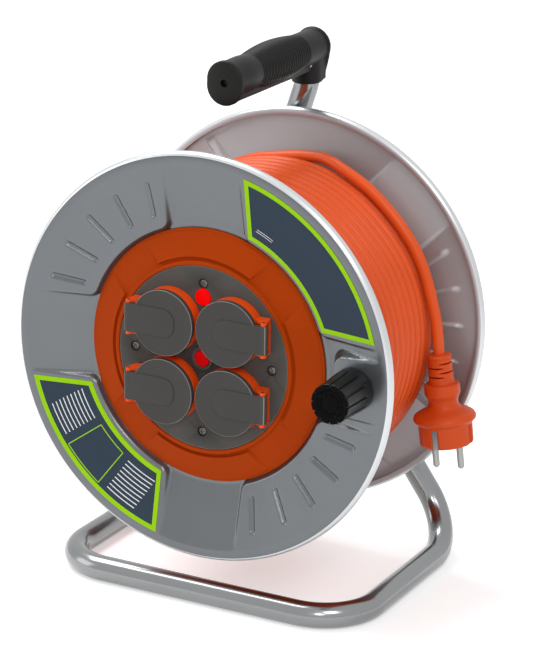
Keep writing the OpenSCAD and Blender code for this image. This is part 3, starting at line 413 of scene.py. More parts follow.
def shaderGroup(name, inputs, outputs):  # inputs: label to kind and value; outputs: label to kind
    tree = bpy.data.node_groups.new(name, "ShaderNodeTree")
    for label, (kind, value) in inputs.items():
        s = tree.interface.new_socket(label, in_out="INPUT", socket_type="NodeSocket" + kind)
        s.default_value = value
    for label, kind in outputs.items():
        tree.interface.new_socket(label, in_out="OUTPUT", socket_type="NodeSocket" + kind)
    return tree, tree.nodes.new("NodeGroupInput"), tree.nodes.new("NodeGroupOutput")


def noiseNode(tree, scale, detail):  # noise in the object's own space
    coord, noise = tree.nodes.new("ShaderNodeTexCoord"), tree.nodes.new("ShaderNodeTexNoise")
    noise.inputs["Detail"].default_value = detail
    wire(tree, (coord.outputs["Object"], noise.inputs["Vector"]), (scale, noise.inputs["Scale"]))
    return coord, noise.outputs["Fac"]


def remap(tree, source, fromRange, toRange=(0.0, 1.0)):
    n = tree.nodes.new("ShaderNodeMapRange")
    for key, value in zip(("From Min", "From Max", "To Min", "To Max"), fromRange + toRange):
        n.inputs[key].default_value = value
    tree.links.new(source, n.inputs["Value"])
    return n.outputs["Result"]


def grainGroup():  # moulded or blasted grain: a height and a mask
    tree, start, end = shaderGroup(
        "surfaceGrain", {"Scale": ("Float", 900.0), "Softness": ("Float", 0.6)}, {"Height": "Float", "Mask": "Float"})
    coord, noise = noiseNode(tree, start.outputs["Scale"], 4)
    cells, mix = tree.nodes.new("ShaderNodeTexVoronoi"), tree.nodes.new("ShaderNodeMix")
    wire(
        tree, (coord.outputs["Object"], cells.inputs["Vector"]), (start.outputs["Scale"], cells.inputs["Scale"]),
        (start.outputs["Softness"], mix.inputs["Factor"]), (cells.outputs["Distance"], mix.inputs["A"]),
        (noise, mix.inputs["B"]), (mix.outputs["Result"], end.inputs["Height"]), (noise, end.inputs["Mask"]),
    )
    return tree


def driftGroup():  # slow change of colour over the surface, with a painted highlight on the edges: a lighter colour where the edge is sharp
    grey = ("Color", (0.5, 0.5, 0.5, 1))
    inputs = {"Color": grey, "Painted Edge Highlight": grey}
    inputs.update({"Drift": ("Float", 0.1), "Scale": ("Float", 25.0), "Edge": ("Float", 0.3)})
    tree, start, end = shaderGroup("toneDrift", inputs, {"Color": "Color", "Mask": "Float"})
    noise = noiseNode(tree, start.outputs["Scale"], 5)[1]
    amount = mathNode(tree, "MULTIPLY_ADD", remap(tree, noise, (0.3, 0.7), (-0.5, 0.5)), start.outputs["Drift"], 1.0)
    edge = remap(tree, tree.nodes.new("ShaderNodeNewGeometry").outputs["Pointiness"], (0.53, 0.62))
    scaled, mix = tree.nodes.new("ShaderNodeVectorMath"), tree.nodes.new("ShaderNodeMix")
    scaled.operation, mix.data_type = "SCALE", "RGBA"
    edgeHighlightAmount = mathNode(tree, "MULTIPLY", edge, start.outputs["Edge"])
    wire(
        tree, (start.outputs["Color"], scaled.inputs[0]), (amount, scaled.inputs["Scale"]),
        (edgeHighlightAmount, mix.inputs["Factor"]), (scaled.outputs[0], mix.inputs["A"]),
        (start.outputs["Painted Edge Highlight"], mix.inputs["B"]), (mix.outputs["Result"], end.inputs["Color"]),
        (edge, end.inputs["Mask"]),
    )
    return tree


def ringGroup():  # mask that is 1 outside a radius round the drum's axis
    tree, start, end = shaderGroup(
        "ringMask", {"Radius": ("Float", 0.065), "Height": ("Float", reel["axleHeight"] / 1000)}, {"Mask": "Float"})
    kinds = ("TexCoord", "SeparateXYZ", "CombineXYZ", "VectorMath")
    coord, split, join, reach = (tree.nodes.new("ShaderNode" + kind) for kind in kinds)
    reach.operation = "LENGTH"
    up = mathNode(tree, "SUBTRACT", split.outputs["Z"], start.outputs["Height"])
    wire(
        tree, (coord.outputs["Object"], split.inputs[0]), (split.outputs["X"], join.inputs["X"]),
        (up, join.inputs["Y"]), (join.outputs[0], reach.inputs[0]),
        (mathNode(tree, "GREATER_THAN", reach.outputs["Value"], start.outputs["Radius"]), end.inputs["Mask"]),
    )
    return tree


shaderTools = {"grain": grainGroup(), "drift": driftGroup(), "ring": ringGroup()}


def groupNode(tree, tool, **values):
    n = tree.nodes.new("ShaderNodeGroup")
    n.node_tree = shaderTools[tool]
    for key, value in values.items():
        n.inputs[key].default_value = value
    return n


def finish(name, f):  # one material from a dictionary of values
    mat = bpy.data.materials.new(name)
    mat.use_nodes = True
    tree = mat.node_tree
    skin, bump = tree.nodes["Principled BSDF"], tree.nodes.new("ShaderNodeBump")
    base = paint(*f["colour"])
    # the lighter edge colour is a painted highlight, not wear
    paintedEdgeHighlight = paint(*f.get("paintedEdgeHighlight", [min(255, c * 1.15 + 8) for c in f["colour"]]))
    drift = groupNode(tree, "drift", Color=base, Drift=f.get("drift", 0.1), Edge=f.get("edge", 0.35))
    drift.inputs["Painted Edge Highlight"].default_value = paintedEdgeHighlight
    grain = groupNode(tree, "grain", Scale=f.get("grain", 1400.0))
    bump.inputs["Strength"].default_value = f.get("bump", 0.12)
    bump.inputs["Distance"].default_value = 0.0002
    spreadBy = f.get("roughSpread", 0.06)
    rough = remap(tree, grain.outputs["Mask"], (0.0, 1.0), (f["rough"] - spreadBy, f["rough"] + spreadBy))
    colour = drift.outputs["Color"]
    if "rimFrom" in f:  # painted highlight: lighter outer edge of a round plate
        mix = tree.nodes.new("ShaderNodeMix")
        mix.data_type = "RGBA"
        mix.inputs["B"].default_value = paintedEdgeHighlight
        ring = groupNode(tree, "ring", Radius=f["rimFrom"])
        wire(tree, (ring.outputs["Mask"], mix.inputs["Factor"]), (colour, mix.inputs["A"]))
        colour = mix.outputs["Result"]
    wire(
        tree, (grain.outputs["Height"], bump.inputs["Height"]), (colour, skin.inputs["Base Color"]),
        (rough, skin.inputs["Roughness"]), (bump.outputs["Normal"], skin.inputs["Normal"]),
    )
    skin.inputs["Metallic"].default_value = f.get("metal", 0.0)
    if "specular" in f:
        skin.inputs["Specular IOR Level"].default_value = f["specular"]
    if "soften" in f:  # rounds the look of sharp edges
        bevel = tree.nodes.new("ShaderNodeBevel")
        bevel.samples = 4
        bevel.inputs["Radius"].default_value = f["soften"]
        tree.links.new(bevel.outputs["Normal"], bump.inputs["Normal"])
    if "glow" in f:
        skin.inputs["Emission Color"].default_value = base
        skin.inputs["Emission Strength"].default_value = f["glow"]
    return mat


# each finish's lighter edge colour is a painted highlight on its sharp edges
finishes = {
    "flangeSheet": dict(
        colour=(108, 111, 114), rough=0.3, metal=0.85, bump=0.05, grain=900, drift=0.05, edge=0.25,
        paintedEdgeHighlight=(170, 173, 176), specular=0.3),
    # lighter copy of the flange metal for the bead's outer half: painted highlight
    "rimBeadPaintedHighlight": dict(
        colour=(204, 207, 209), rough=0.3, metal=0.75, bump=0.04, grain=900, drift=0.04, edge=0.0, specular=0.4),
    # lighter copy of the same flange metal for the rear flange: painted light
    "rearFlangePaintedLight": dict(
        colour=(168, 164, 166), rough=0.4, metal=0.6, bump=0.05, grain=900, drift=0.05, edge=0.25,
        paintedEdgeHighlight=(190, 188, 190), specular=0.3),
    "tubeZinc": dict(
        colour=(140, 142, 143), rough=0.2, metal=1.0, bump=0.03, grain=600, drift=0.05, edge=0.0, roughSpread=0.04),
    "steel": dict(colour=(150, 150, 148), rough=0.3, metal=1.0, bump=0.05, drift=0.08, soften=0.0002),
    "darkSteel": dict(colour=(104, 104, 102), rough=0.4, metal=0.8, bump=0.06),
    "brass": dict(colour=(200, 165, 90), rough=0.3, metal=1.0, bump=0.05),
    "cableOrange": dict(colour=(222, 84, 26), rough=0.4, bump=0.06, grain=1600, drift=0.07, edge=0.1, specular=0.3),
    "plugOrange": dict(
        colour=(206, 74, 20), rough=0.45, bump=0.1, grain=1800, drift=0.05, edge=0.25, paintedEdgeHighlight=(226, 104, 50),
        specular=0.25),
    "bezelOrange": dict(
        colour=(168, 58, 2), rough=0.5, bump=0.16, grain=1700, drift=0.05, edge=0.2, paintedEdgeHighlight=(200, 80, 22), specular=0.06),
    "socketOrange": dict(
        colour=(224, 74, 12), rough=0.42, bump=0.1, grain=1700, drift=0.05, soften=0.00035, specular=0.2),
    # rimFrom: radius past which the plate's edge gets a painted highlight
    "plateGrey": dict(
        colour=(62, 60, 57), rough=0.5, bump=0.16, grain=1500, drift=0.06, soften=0.0003, specular=0.08,
        rimFrom=0.0648, paintedEdgeHighlight=(112, 112, 108)),
    "lidGrey": dict(
        colour=(68, 67, 65), rough=0.46, bump=0.14, grain=1700, drift=0.04, edge=0.15, paintedEdgeHighlight=(120, 120, 116),
        specular=0.12),
    # lighter grey for the lids' rounded front edge: painted highlight
    "lidEdge": dict(colour=(126, 126, 122), rough=0.35, bump=0.05, grain=1700, edge=0.0, specular=0.5),
    # darker, duller copy of the knob's black: painted shade on the recessed cap and the knob's front face
    "knobShadedBlack": dict(
        colour=(12, 12, 12), rough=0.5, bump=0.1, grain=1500, edge=0.6, paintedEdgeHighlight=(60, 60, 60), specular=0.03),
    "knobBlack": dict(
        colour=(18, 18, 18), rough=0.36, bump=0.1, grain=1500, drift=0.1, edge=0.3, paintedEdgeHighlight=(56, 56, 56), specular=0.3),
    "gripBlack": dict(
        colour=(14, 13, 12), rough=0.45, bump=0.3, grain=1300, drift=0.1, edge=0.2, paintedEdgeHighlight=(60, 58, 54), specular=0.2),
    "hubBlack": dict(colour=(46, 46, 46), rough=0.5, bump=0.15, grain=1400, drift=0.08, soften=0.0004, specular=0.2),
    "gasketRubber": dict(colour=(26, 26, 26), rough=0.65, bump=0.2, grain=1200, specular=0.2),
    "lampRed": dict(colour=(246, 2, 2), rough=0.3, bump=0.02, drift=0.03, specular=0.04, glow=0.15),
    "buttonRed": dict(colour=(222, 2, 4), rough=0.4, bump=0.08, drift=0.05, specular=0.04),
    "whiteNylon": dict(colour=(226, 224, 216), rough=0.45, bump=0.08, drift=0.04),
    "barrelBrown": dict(colour=(120, 62, 34), rough=0.6, bump=0.2, grain=900),
    "labelNavy": dict(colour=(53, 65, 78), rough=0.4, bump=0.03, drift=0.03, edge=0.0, specular=0.05),
    "labelGreen": dict(colour=(150, 204, 18), rough=0.4, bump=0.03, drift=0.03, edge=0.0, specular=0.05),
    "labelPale": dict(colour=(226, 228, 230), rough=0.4, bump=0.03, drift=0.02, edge=0.0, specular=0.1),
}
m = {name: finish(name, values) for name, values in finishes.items()}
print("materials ready:", len(m))


# free cord and plug: angle round the drum, height over the lay, distance to the rear rim
cordWay = {
    "radius": 4.0,
    "lay": 120.5,
    "lastTurn": [(a, -8.9, 17.2) for a in range(304, 105, -18)],
    "climb": [
        (97, -8.8, 17.2), (92.5, -7.9, 17.3), (86, -5.8, 18), (80, -3.1, 19.8), (76.5, -1.4, 22.1),
        (72.5, -0.5, 25.2), (68, -0.2, 28), (62, 0, 29.4), (56, 0, 29.9), (48, 0, 30.8),
        (40, 0.2, 31), (31, 0.3, 30.4), (22, 0.1, 30.7), (13.4, 0.3, 31.3), (6.1, 1.7, 31.6),
    ],
    "plugTop": (124.5, 43, -9),
    "plugTilt": 7.5,
}
cordRoute = []
for a, over, fromRim in cordWay["lastTurn"] + cordWay["climb"]:
    r = cordWay["lay"] + over
    cordRoute.append((r * math.cos(math.radians(a)), reel["halfWidth"] - fromRim, r * math.sin(math.radians(a))))
tilt = math.radians(cordWay["plugTilt"])
plugAim = np.array([math.sin(tilt), 0, -math.cos(tilt)])
plugTop = np.array(cordWay["plugTop"], float)
cordPoints = smoothLine(cordRoute + [tuple(plugTop - plugAim * 6.4), tuple(plugTop)], 8)
freeCord = piece(
    "freeCord", [tube(cordPoints, cordWay["radius"], 24)], midPlace, "frame", m["cableOrange"], ["free_cord"])

plugPlace = midPlace @ Matrix.Translation(plugTop) @ Matrix.Rotation(-tilt, 4, "Y")
plug = {
    "relief": {
        "head": [(0, 0), (7.6, 0), (8.5, -0.7), (8.6, -2.0), (8.1, -2.5), (8.2, -3.2)],
        "foot": [(8.9, -19.5), (9.2, -21.0), (0, -21.0)],
        "slots": 4, "firstSlot": -5.0, "slotStep": 3.2, "slotHeight": 1.2, "floor": 4.8, "turn": -17.0,
        "radius": 8.25, "taper": 0.12,
    },
    "body": {
        "line": [
            (0, -20.9), (11.6, -20.9), (12.5, -21.8), (12.6, -23.2), (12.6, -28.6), (11.7, -30.0), (10.7, -32.2),
            (10.4, -34.2), (10.7, -36.6), (12.2, -38.6), (15.2, -40.2), (18.6, -41.6), (21.2, -43.2), (22.2, -45.2),
            (22.1, -46.8), (20.9, -48.2), (19.3, -49.0), (19.1, -50.2), (18.9, -63.8), (18.0, -64.9), (0, -65),
        ],
        "groovesFrom": -50.6, "groovesOutside": 15, "soft": 0.5,
        "guide": (2.9, 17.1), "contact": (2.6, 17.65),  # half width and floor of the grooves
    },
}


def makeRelief(v):
    line, high = list(v["head"]), v["slotHeight"]
    tops = [v["firstSlot"] - v["slotStep"] * i for i in range(v["slots"])]
    for i, z in enumerate(tops):
        line += [(v["radius"] + v["taper"] * (i + 1), z - d) for d in (0, 0.02, high, high + 0.02)]
    line += v["foot"]

    def cut(r, z, a):  # slots from both sides, each turned by 90 degrees from the one above
        for i, top in enumerate(tops):
            inSlot = (z < top - 0.005) & (z > top - high - 0.015)
            for half in (0, 180):
                c = np.cos(a - math.radians(v["turn"] + 90 * (i % 2) + half))
                r = np.where(inSlot & (c > 0.1), np.minimum(r, v["floor"] / np.maximum(c, 0.1)), r)
        return r, z

    return piece(
        "plugRelief", [lathe(line, 120, cut)], plugPlace, "frame", m["plugOrange"], ["plug_relief"],
        sharp=30)


def makePlugBody(v):
    line = spread(softCorners(v["line"], 0.8, 3), 1.2)

    def groove(r, z, a):  # two grooves for the guides, two for the earth contacts
        c, s = np.abs(np.cos(a)), np.abs(np.sin(a))
        x, y = r * c, r * s
        low = ramp((v["groovesFrom"] - z) / v["soft"]) * (r > v["groovesOutside"])
        for along, over, k, (half, floor) in ((x, y, c, v["guide"]), (y, x, s, v["contact"])):
            amount = low * ramp((half - over) / v["soft"]) * (along > 10)
            r = r * (1 - amount) + amount * np.minimum(r, floor / np.maximum(k, 0.5))
        return r, z

    return piece(
        "plugBody", [lathe(line, 288, groove)], plugPlace, "frame", m["plugOrange"], ["plug_body"],
        sharp=40)


plugRelief = makeRelief(plug["relief"])
plugBody = makePlugBody(plug["body"])


# flanges: heights stand out from the drum's end planes, angles in degrees
flange = {
    "rimOut": 3.2, "beadRadius": 3.9, "beadCentre": 141.1, "beadShine": 1.6, "band": 137.1, "wall": 1.2, "seat": 92.5,
    "dish": 10.5, "padStart": 91.5, "padDepth": 5.5, "padGap": 29.5, "padCorner": 5.0,
    "bossX": 100.5, "bossHalf": 22.0, "bossCorner": 8.0,
    "slotFrom": 102.8, "slotTo": 124.3, "slotTurnIn": 11.3, "slotTurnOut": 12.6, "slotWidth": 4.5, "slotDepth": 1.5,
    "slotShoulder": 1.5, "padShoulder": (1.1, 0.5), "bossShoulder": (0.9, 0.34),  # width, more for each mm of height
    "sides": 840, "rowStep": 0.82, "backStep": 2.4,
    "hidden": [72, 78, 84, 89],  # radii of the rows inside the seat
}


def insideBoth(a, b, r):  # distance inside two borders, with a round corner
    u, v = np.maximum(r - a, 0), np.maximum(r - b, 0)
    return np.where((u > 0) & (v > 0), r - np.hypot(u, v), np.minimum(a, b))


def cone(r, start, depth, f=flange):  # falls from the rim's level to the depth at the start radius
    return f["rimOut"] - (f["band"] - r) * (f["rimOut"] + depth) / (f["band"] - start)


def flangeHeight(x, y, f):
    r = np.hypot(x, y)
    dish = np.minimum(f["rimOut"], np.maximum(-f["dish"], cone(r, f["seat"], f["dish"])))
    pad = np.minimum(f["rimOut"], cone(r, f["padStart"], f["padDepth"]))
    cross = insideBoth(np.abs(x) - f["padGap"], np.abs(y) - f["padGap"], f["padCorner"])
    into = insideBoth(cross, r - f["padStart"], f["padCorner"])
    width = f["padShoulder"][0] + f["padShoulder"][1] * (pad - dish)
    h = dish + (pad - dish) * ramp((into + 0.6 * width) / width)
    boss = insideBoth(x - f["bossX"], f["bossHalf"] - np.abs(y), f["bossCorner"])
    width = f["bossShoulder"][0] + f["bossShoulder"][1] * (f["rimOut"] - h)
    h = h + (f["rimOut"] - h) * np.clip(boss / width + 0.5, 0, 1)
    for side in (135, -45):
        for k in (-2, -1, 0, 1, 2):
            a, b = math.radians(side + f["slotTurnIn"] * k), math.radians(side + f["slotTurnOut"] * k)
            p = np.array([f["slotFrom"] * math.cos(a), f["slotFrom"] * math.sin(a)])
            q = np.array([f["slotTo"] * math.cos(b), f["slotTo"] * math.sin(b)])
            d = q - p
            t = np.clip(((x - p[0]) * d[0] + (y - p[1]) * d[1]) / (d @ d), 0, 1)
            away = np.hypot(x - p[0] - t * d[0], y - p[1] - t * d[1])
            h = h - f["slotDepth"] * np.clip((f["slotWidth"] / 2 - away) / f["slotShoulder"], 0, 1)
    return h


def makeFlange(name, place, turn, cadNode, look, f=flange):
    c, s = np.cos(around(f["sides"])), np.sin(around(f["sides"]))
    front = f["hidden"] + [90.2] + list(np.arange(91.2, f["band"], f["rowStep"]))
    back = [138.6, 137.2] + list(np.arange(135.8, 91, -f["backStep"])) + [90] + f["hidden"][2::-1]
    rows = [(r, flangeHeight(r * c, r * s, f)) for r in front]
    rows.append((f["band"], f["rimOut"]))
    beads = ((f["beadRadius"], np.linspace(90, -107, 13)), (f["beadRadius"] - f["wall"], np.linspace(-116, 100, 7)))
    for radius, span in beads:
        for t in np.radians(span):
            rows.append((f["beadCentre"] + radius * math.cos(t), f["rimOut"] - f["beadRadius"] + radius * math.sin(t)))
    rows += [(r, flangeHeight(r * c, r * s, f) - f["wall"]) for r in back]
    where = place @ Matrix.Rotation(math.radians(turn), 4, "Z")
    part = rowsTurned(rows, f["sides"])
    obj = piece(name, [part], where, "drum", m[look], [cadNode], sharp=60)
    # the bead's outer faces get the lighter copy of the metal: painted highlight
    lookOf(obj, where, "rimBeadPaintedHighlight", lambda spot: math.hypot(spot.x, spot.y) > f["beadCentre"] + f["beadShine"])


makeFlange("frontFlange", frontPlace, 0, "front_flange", "flangeSheet")
# the rear flange gets the lighter copy of the metal: painted light
makeFlange("rearFlange", rearPlace, 44, "rear_flange", "rearFlangePaintedLight")
print("flanges pressed")


# wound cable
wound = {
    "turns": 13.0, "pitch": 8.6, "radius": 111.3, "firstY": -62.7, "endAngle": 310.0, "cable": 4.2, "slack": 0.05,
    "waver": 0.12, "steps": 90, "sides": 12, "innerSteps": 48, "innerSides": 8,
    "inner": [  # radius, turns, first y
        (104.6, 13.5, -58.4), (98.0, 13.0, -54.1), (91.5, 13.5, -58.4), (85.3, 13.0, -54.1),
    ],
}


def woundLine(w, radius, turns, firstY, steps, waver=0.0, hand=1):
    t = np.linspace(0, 1, int(turns * steps) + 1)
    a = np.radians(w["endAngle"] + hand * (1 - t) * 360 * turns)
    r = radius + waver * np.sin(a * 3 + 0.7) + waver * 0.6 * np.sin(a * 1.31 + 2)
    y = firstY + w["pitch"] * turns * t + waver * 0.5 * np.sin(a * 2.0 + 1)
    return inRoom(np.stack([r * np.cos(a), y, r * np.sin(a)], 1))


def makeWinding(w):
    outer = woundLine(w, w["radius"], w["turns"], w["firstY"], w["steps"], w["waver"])
    tubePiece("woundCable", [outer], w["cable"] / 1000, w["sides"], m["cableOrange"], "drum", ["winding"])
    layers = [woundLine(w, *v, w["innerSteps"], hand=1 if i % 2 else -1) for i, v in enumerate(w["inner"])]
    radius = (w["cable"] - w["slack"]) / 1000
    tubePiece("woundInnerLayers", layers, radius, w["innerSides"], m["cableOrange"], "drum", ["winding_core"])


makeWinding(wound)
print("cable wound")


# stand: middle line of the tube about the drum's middle, with a bend radius for each point
stand = {
    "path": [
        (-7, -19.4, 182.5), (-7, 89.43, 182.5), (-7, 90.294, 158.5), (-117, 102.12, -170), (-117, -75, -170),
        (117, -75, -170), (117, 102.12, -170), (-40.41, 93.886, 58.72),
    ],
    "bends": [0, 19, 20, 40, 40, 40, 40, 0],
    "radius": 9.0, "sides": 40, "weldRadius": 9.2, "weldBead": 1.5, "weldWaver": 0.18,
}


def makeStand(s):
    line = roundLine(s["path"], s["bends"], 4.0)
    radius = s["radius"] / 1000
    tubePiece("standTube", [inRoom(line)], radius, s["sides"], m["tubeZinc"], "frame", ["stand_tube"])
    # weld bead where the right leg meets the left one
    path, r = np.array(s["path"]), s["weldRadius"]
    aim, other = unit(path[7] - path[6]), unit(path[3] - path[2])
    side = unit(np.cross(aim, other))
    across, u = np.cross(side, aim), np.cross(other, side)
    bead = []
    for t in around(48):
        p = r * (math.cos(t) * side + math.sin(t) * across)
        reach = math.sqrt(max(0.0, r ** 2 - (p @ side) ** 2))
        # step back along the leg to the surface of the other leg
        bead.append(path[7] + p + aim * (reach * np.sign(u @ -aim) - p @ u) / (aim @ u))
    grid = []
    for i, p in enumerate(bead):
        tangent = unit(bead[(i + 1) % len(bead)] - bead[i - 1])
        n = unit(np.cross(tangent, aim))
        b = np.cross(n, tangent)
        swell = s["weldBead"] + s["weldWaver"] * math.sin(i * 2.4)
        grid += [p + swell * (math.cos(v) * n + math.sin(v) * b) for v in around(8)]
    part = (grid, ringFaces(len(bead), 8, True))
    piece("weldBead", [part], midPlace, "frame", m["steel"])


makeStand(stand)
print("stand bent")


# carrying grip
grip = {
    "x": -7.0, "z": 182.5, "lift": 1.6, "y0": -33.37, "y1": 100.63, "endRadius": 12.6, "fatRadius": 15.4, "under": 12.9,
    "ribs": 20, "ribFrom": 34.0, "ribTo": 106.0, "ribDepth": 1.0, "ribLow": -0.58,
    "collar": (12, 30), "collarRise": 0.5,
    "front": [3.6, 8, 14, 20, 26, 31], "back": [110, 116, 122, 128],  # rows before and behind the ribs
    "sides": 96,
    "flange": [(0.6, 4.0), (0.0, 3.6), (0.0, 1.0), (0.3, 0.4), (0.9, 0.0)],  # inset from the oval, height
    "screwHole": [(2.9, 0.0), (2.6, 0.3), (2.6, 9.0), (0.0, 9.0)],  # radius, height
    "tubeLow": (-7.0, 90.29, 160.0), "tubeHigh": (-7.0, 89.43, 182.5), "sleeve": 11.0, "melt": 0.0008,
    "block": (-7.0, 89.4, 161.5), "blockHeight": 21,
}


def ribbed(name, grid, faces, place, phase, mask, inward, ribs, depth, look):  # a mesh with pressed ribs
    mesh = bpy.data.meshes.new(name)
    mesh.from_pydata(grid.reshape(-1, 3).tolist(), [], faces)
    mesh.transform(place)
    kinds = [("ribPhase", "FLOAT", "value", phase), ("ribMask", "FLOAT", "value", mask)]
    kinds.append(("ribInward", "FLOAT_VECTOR", "vector", inward))
    for label, kind, field, values in kinds:
        mesh.attributes.new(label, kind, "POINT").data.foreach_set(field, np.asarray(values, np.float32).ravel())
    values = {"Ribs": float(ribs), "Depth": depth / 1000, "Material": m[look]}
    obj = applyTree(bareObject(name, mesh), trees["ribs"], values)
    for label, *_ in kinds:
        obj.data.attributes.remove(obj.data.attributes[label])
    clean(obj.data, sharp=42)
    return obj


def levels(outlines):  # outlines at their heights, as one list of points
    return np.concatenate([np.column_stack([line, np.full(len(line), z)]) for line, z in outlines])


def makeGrip(g):
    sides = g["sides"]
    ribs = np.linspace(g["ribFrom"], g["ribTo"], g["ribs"] * 8 + 1)
    s = np.concatenate([g["front"], ribs, g["back"]])[:, None]
    t = np.clip((s - g["ribFrom"]) / (g["ribTo"] - g["ribFrom"]), 0, 1)
    r = g["endRadius"] + (g["fatRadius"] - g["endRadius"]) * np.sin(math.pi * t)
    r = r + g["collarRise"] * ramp((s - g["collar"][0]) / 3) * ramp((g["collar"][1] - s) / 3)
    a = np.repeat(around(sides)[None, :], len(s), 0)
    z = np.maximum(g["z"] + g["lift"] + r * np.sin(a), g["z"] - g["under"])
    grid = np.stack([g["x"] + r * np.cos(a), g["y0"] + s + 0 * a, z], 2)
    inward = np.stack([-np.cos(a), 0 * a, -np.sin(a)], 2)
    mask = ramp((np.sin(a) - g["ribLow"]) / 0.12) * ramp(np.minimum(t, 1 - t) / 0.004)
    obj = ribbed(
        "gripBody", grid, capped(len(s), sides), midPlace, t + 0 * a, mask, inward,
        g["ribs"], g["ribDepth"], "gripBlack")
    settle(obj, "frame", None, ["handle_grip"])

    # front flange: an upright oval with a hole for the screw
    oval = circle(13.5, 64)
    oval[:, 1] += np.where(oval[:, 1] > 0, 2, -2)
    outlines = [(inset(oval, d), z) for d, z in g["flange"]] + [(circle(r, 64), z) for r, z in g["screwHole"]]
    faces = ringFaces(len(outlines), 64).tolist() + [list(range(64))[::-1]]
    turn = Matrix.Translation((g["x"], g["y0"], g["z"])) @ Matrix.Rotation(-math.pi / 2, 4, "X")
    flangePart = moved((levels(outlines), faces), turn)
    piece("gripFrontFlange", [flangePart], midPlace, "frame", m["gripBlack"])

    band = slab(roundBox(-7.5, 7.5, 0, 112, 3), 0, 8, 1.0)
    band = moved(band, Matrix.Translation((g["x"], g["y0"] + 4, g["z"] - g["under"])))
    piece("gripUnderBand", [band], midPlace, "frame", m["gripBlack"])

    # the moulded elbow over the tube: four blocks melted together
    oval = []
    for t in around(64):
        c, q = math.cos(t), math.sin(t)
        if q > 0.2:
            oval.append((14 * c, 14 * q + 1.5))
        else:
            oval.append((10.5 * c + 3.5 * c * ramp((q + 0.6) / 0.8), 10.5 * q - 13 + 14.5 * ramp((q + 0.5) / 0.7)))
    upright = Matrix.Translation((g["x"], g["y1"], g["z"])) @ Matrix.Rotation(math.pi / 2, 4, "X")
    low, high = Vector(g["tubeLow"]), Vector(g["tubeHigh"])
    way = Matrix.Translation(low) @ (high - low).to_track_quat("Z", "Y").to_matrix().to_4x4()
    blocks = [
        moved(slab(oval, 0.2, 3.2, 0.5), upright),
        moved(slab(circle(g["endRadius"], 48, g["lift"]), 2.5, 30, 0.5), upright),
        moved(slab(circle(g["sleeve"], 48), 0, (high - low).length, 0.3), way),
        moved(slab(roundBox(-11, 11, 0, 10.2, 1.5), 0, g["blockHeight"], 0.3), Matrix.Translation(g["block"])),
    ]
    obj = bareObject("gripElbow", meshOf("gripElbow", blocks, midPlace))
    melt = obj.modifiers.new("melt", "REMESH")
    melt.mode, melt.voxel_size, melt.use_smooth_shade = "VOXEL", g["melt"], True
    calm = obj.modifiers.new("calm", "SMOOTH")
    calm.iterations, calm.factor = 4, 0.5
    melted = bpy.data.meshes.new_from_object(obj.evaluated_get(bpy.context.evaluated_depsgraph_get()))
    obj.modifiers.clear()
    obj.data = melted
    settle(obj, "frame", m["gripBlack"])


makeGrip(grip)
print("grip moulded")


# bezel: profile of radius and height
bezel = {
    "inner": -5.2, "edge": -9.0, "sides": 720,
    "span": 30.2, "flare": 4.0, "panelFrom": 71.0, "panelTo": 88.9, "panelTop": -3.0, "panelFall": 5.4,
    "collar": [
        (65.6, -6.0), (65.6, -2.6), (65.8, -2.3), (66.1, -2.2), (68.0, -2.2), (68.3, -2.35), (68.5, -2.7), (68.9, -4.9),
        (69.2, -5.2),
    ],
    "slope": [
        69.8, 70.5, 70.8, 71.0, 71.3, 71.7, *np.arange(72.6, 87.8, 1.6), 88.1, 88.4, 88.7, 89.0, 89.5, 89.9,
    ],
    "back": [
        (90.15, -9.15), (90.2, -9.5), (90.2, -10.47), (82.2, -10.47), (82.1, -7.75), (72.6, -7.75), (72.4, -10.47),
        (71.6, -10.6), (71.6, -24), (66.5, -24), (66.5, -8.5), (59.6, -8.5), (59.6, -6.03),
    ],
}


def makeBezel(b):
    off = np.abs((np.degrees(around(b["sides"])) + 45) % 90 - 45)  # degrees from the middle of the nearest panel

    def slope(r):  # the cone between the collar and the edge, with four raised panels
        z = b["inner"] + (r - 69.2) * (b["edge"] - b["inner"]) / 21.0
        out = r - b["panelFrom"]
        side = np.radians(b["span"] + b["flare"] * out / 19.2 - off) * r
        lift = ramp((side + 0.5) / 1.1) * ramp((out + 0.35) / 0.6) * ramp((b["panelTo"] - r) / 0.6)
        return z + np.maximum(b["panelTop"] - out * b["panelFall"] / 17.7 - z, 0) * lift

    rows = b["collar"] + [(r, slope(r)) for r in b["slope"]] + b["back"]
    part = rowsTurned(rows, b["sides"])
    piece(
        "bezelRing", [part], frontPlace, "drum", m["bezelOrange"], ["bezel_ring"], sharp=42)


makeBezel(bezel)
print("bezel made")


# socket lids
lid = {
    "pitch": 24.6, "radius": 23.25, "low": 6.2, "high": 10.2, "edge": 1.1, "shineIn": 0.95, "shineDown": 0.75,
    "tongueHalf": 10.0, "tongueRise": 0.6, "innerEnd": -9.3, "corner": 8.5, "outerCorner": 0.6,
    "hingeX": 27.5, "hingeA": 7.7, "barrel": 3.08, "bore": 1.32,
}


def socketPlace(k):
    x, y = (-1 if k % 2 == 0 else 1) * lid["pitch"], (1 if k < 2 else -1) * lid["pitch"]
    spot = frontPlace @ Matrix.Translation((x, y, 0))
    return spot @ Matrix.Rotation(math.pi, 4, "Z") if x < 0 else spot


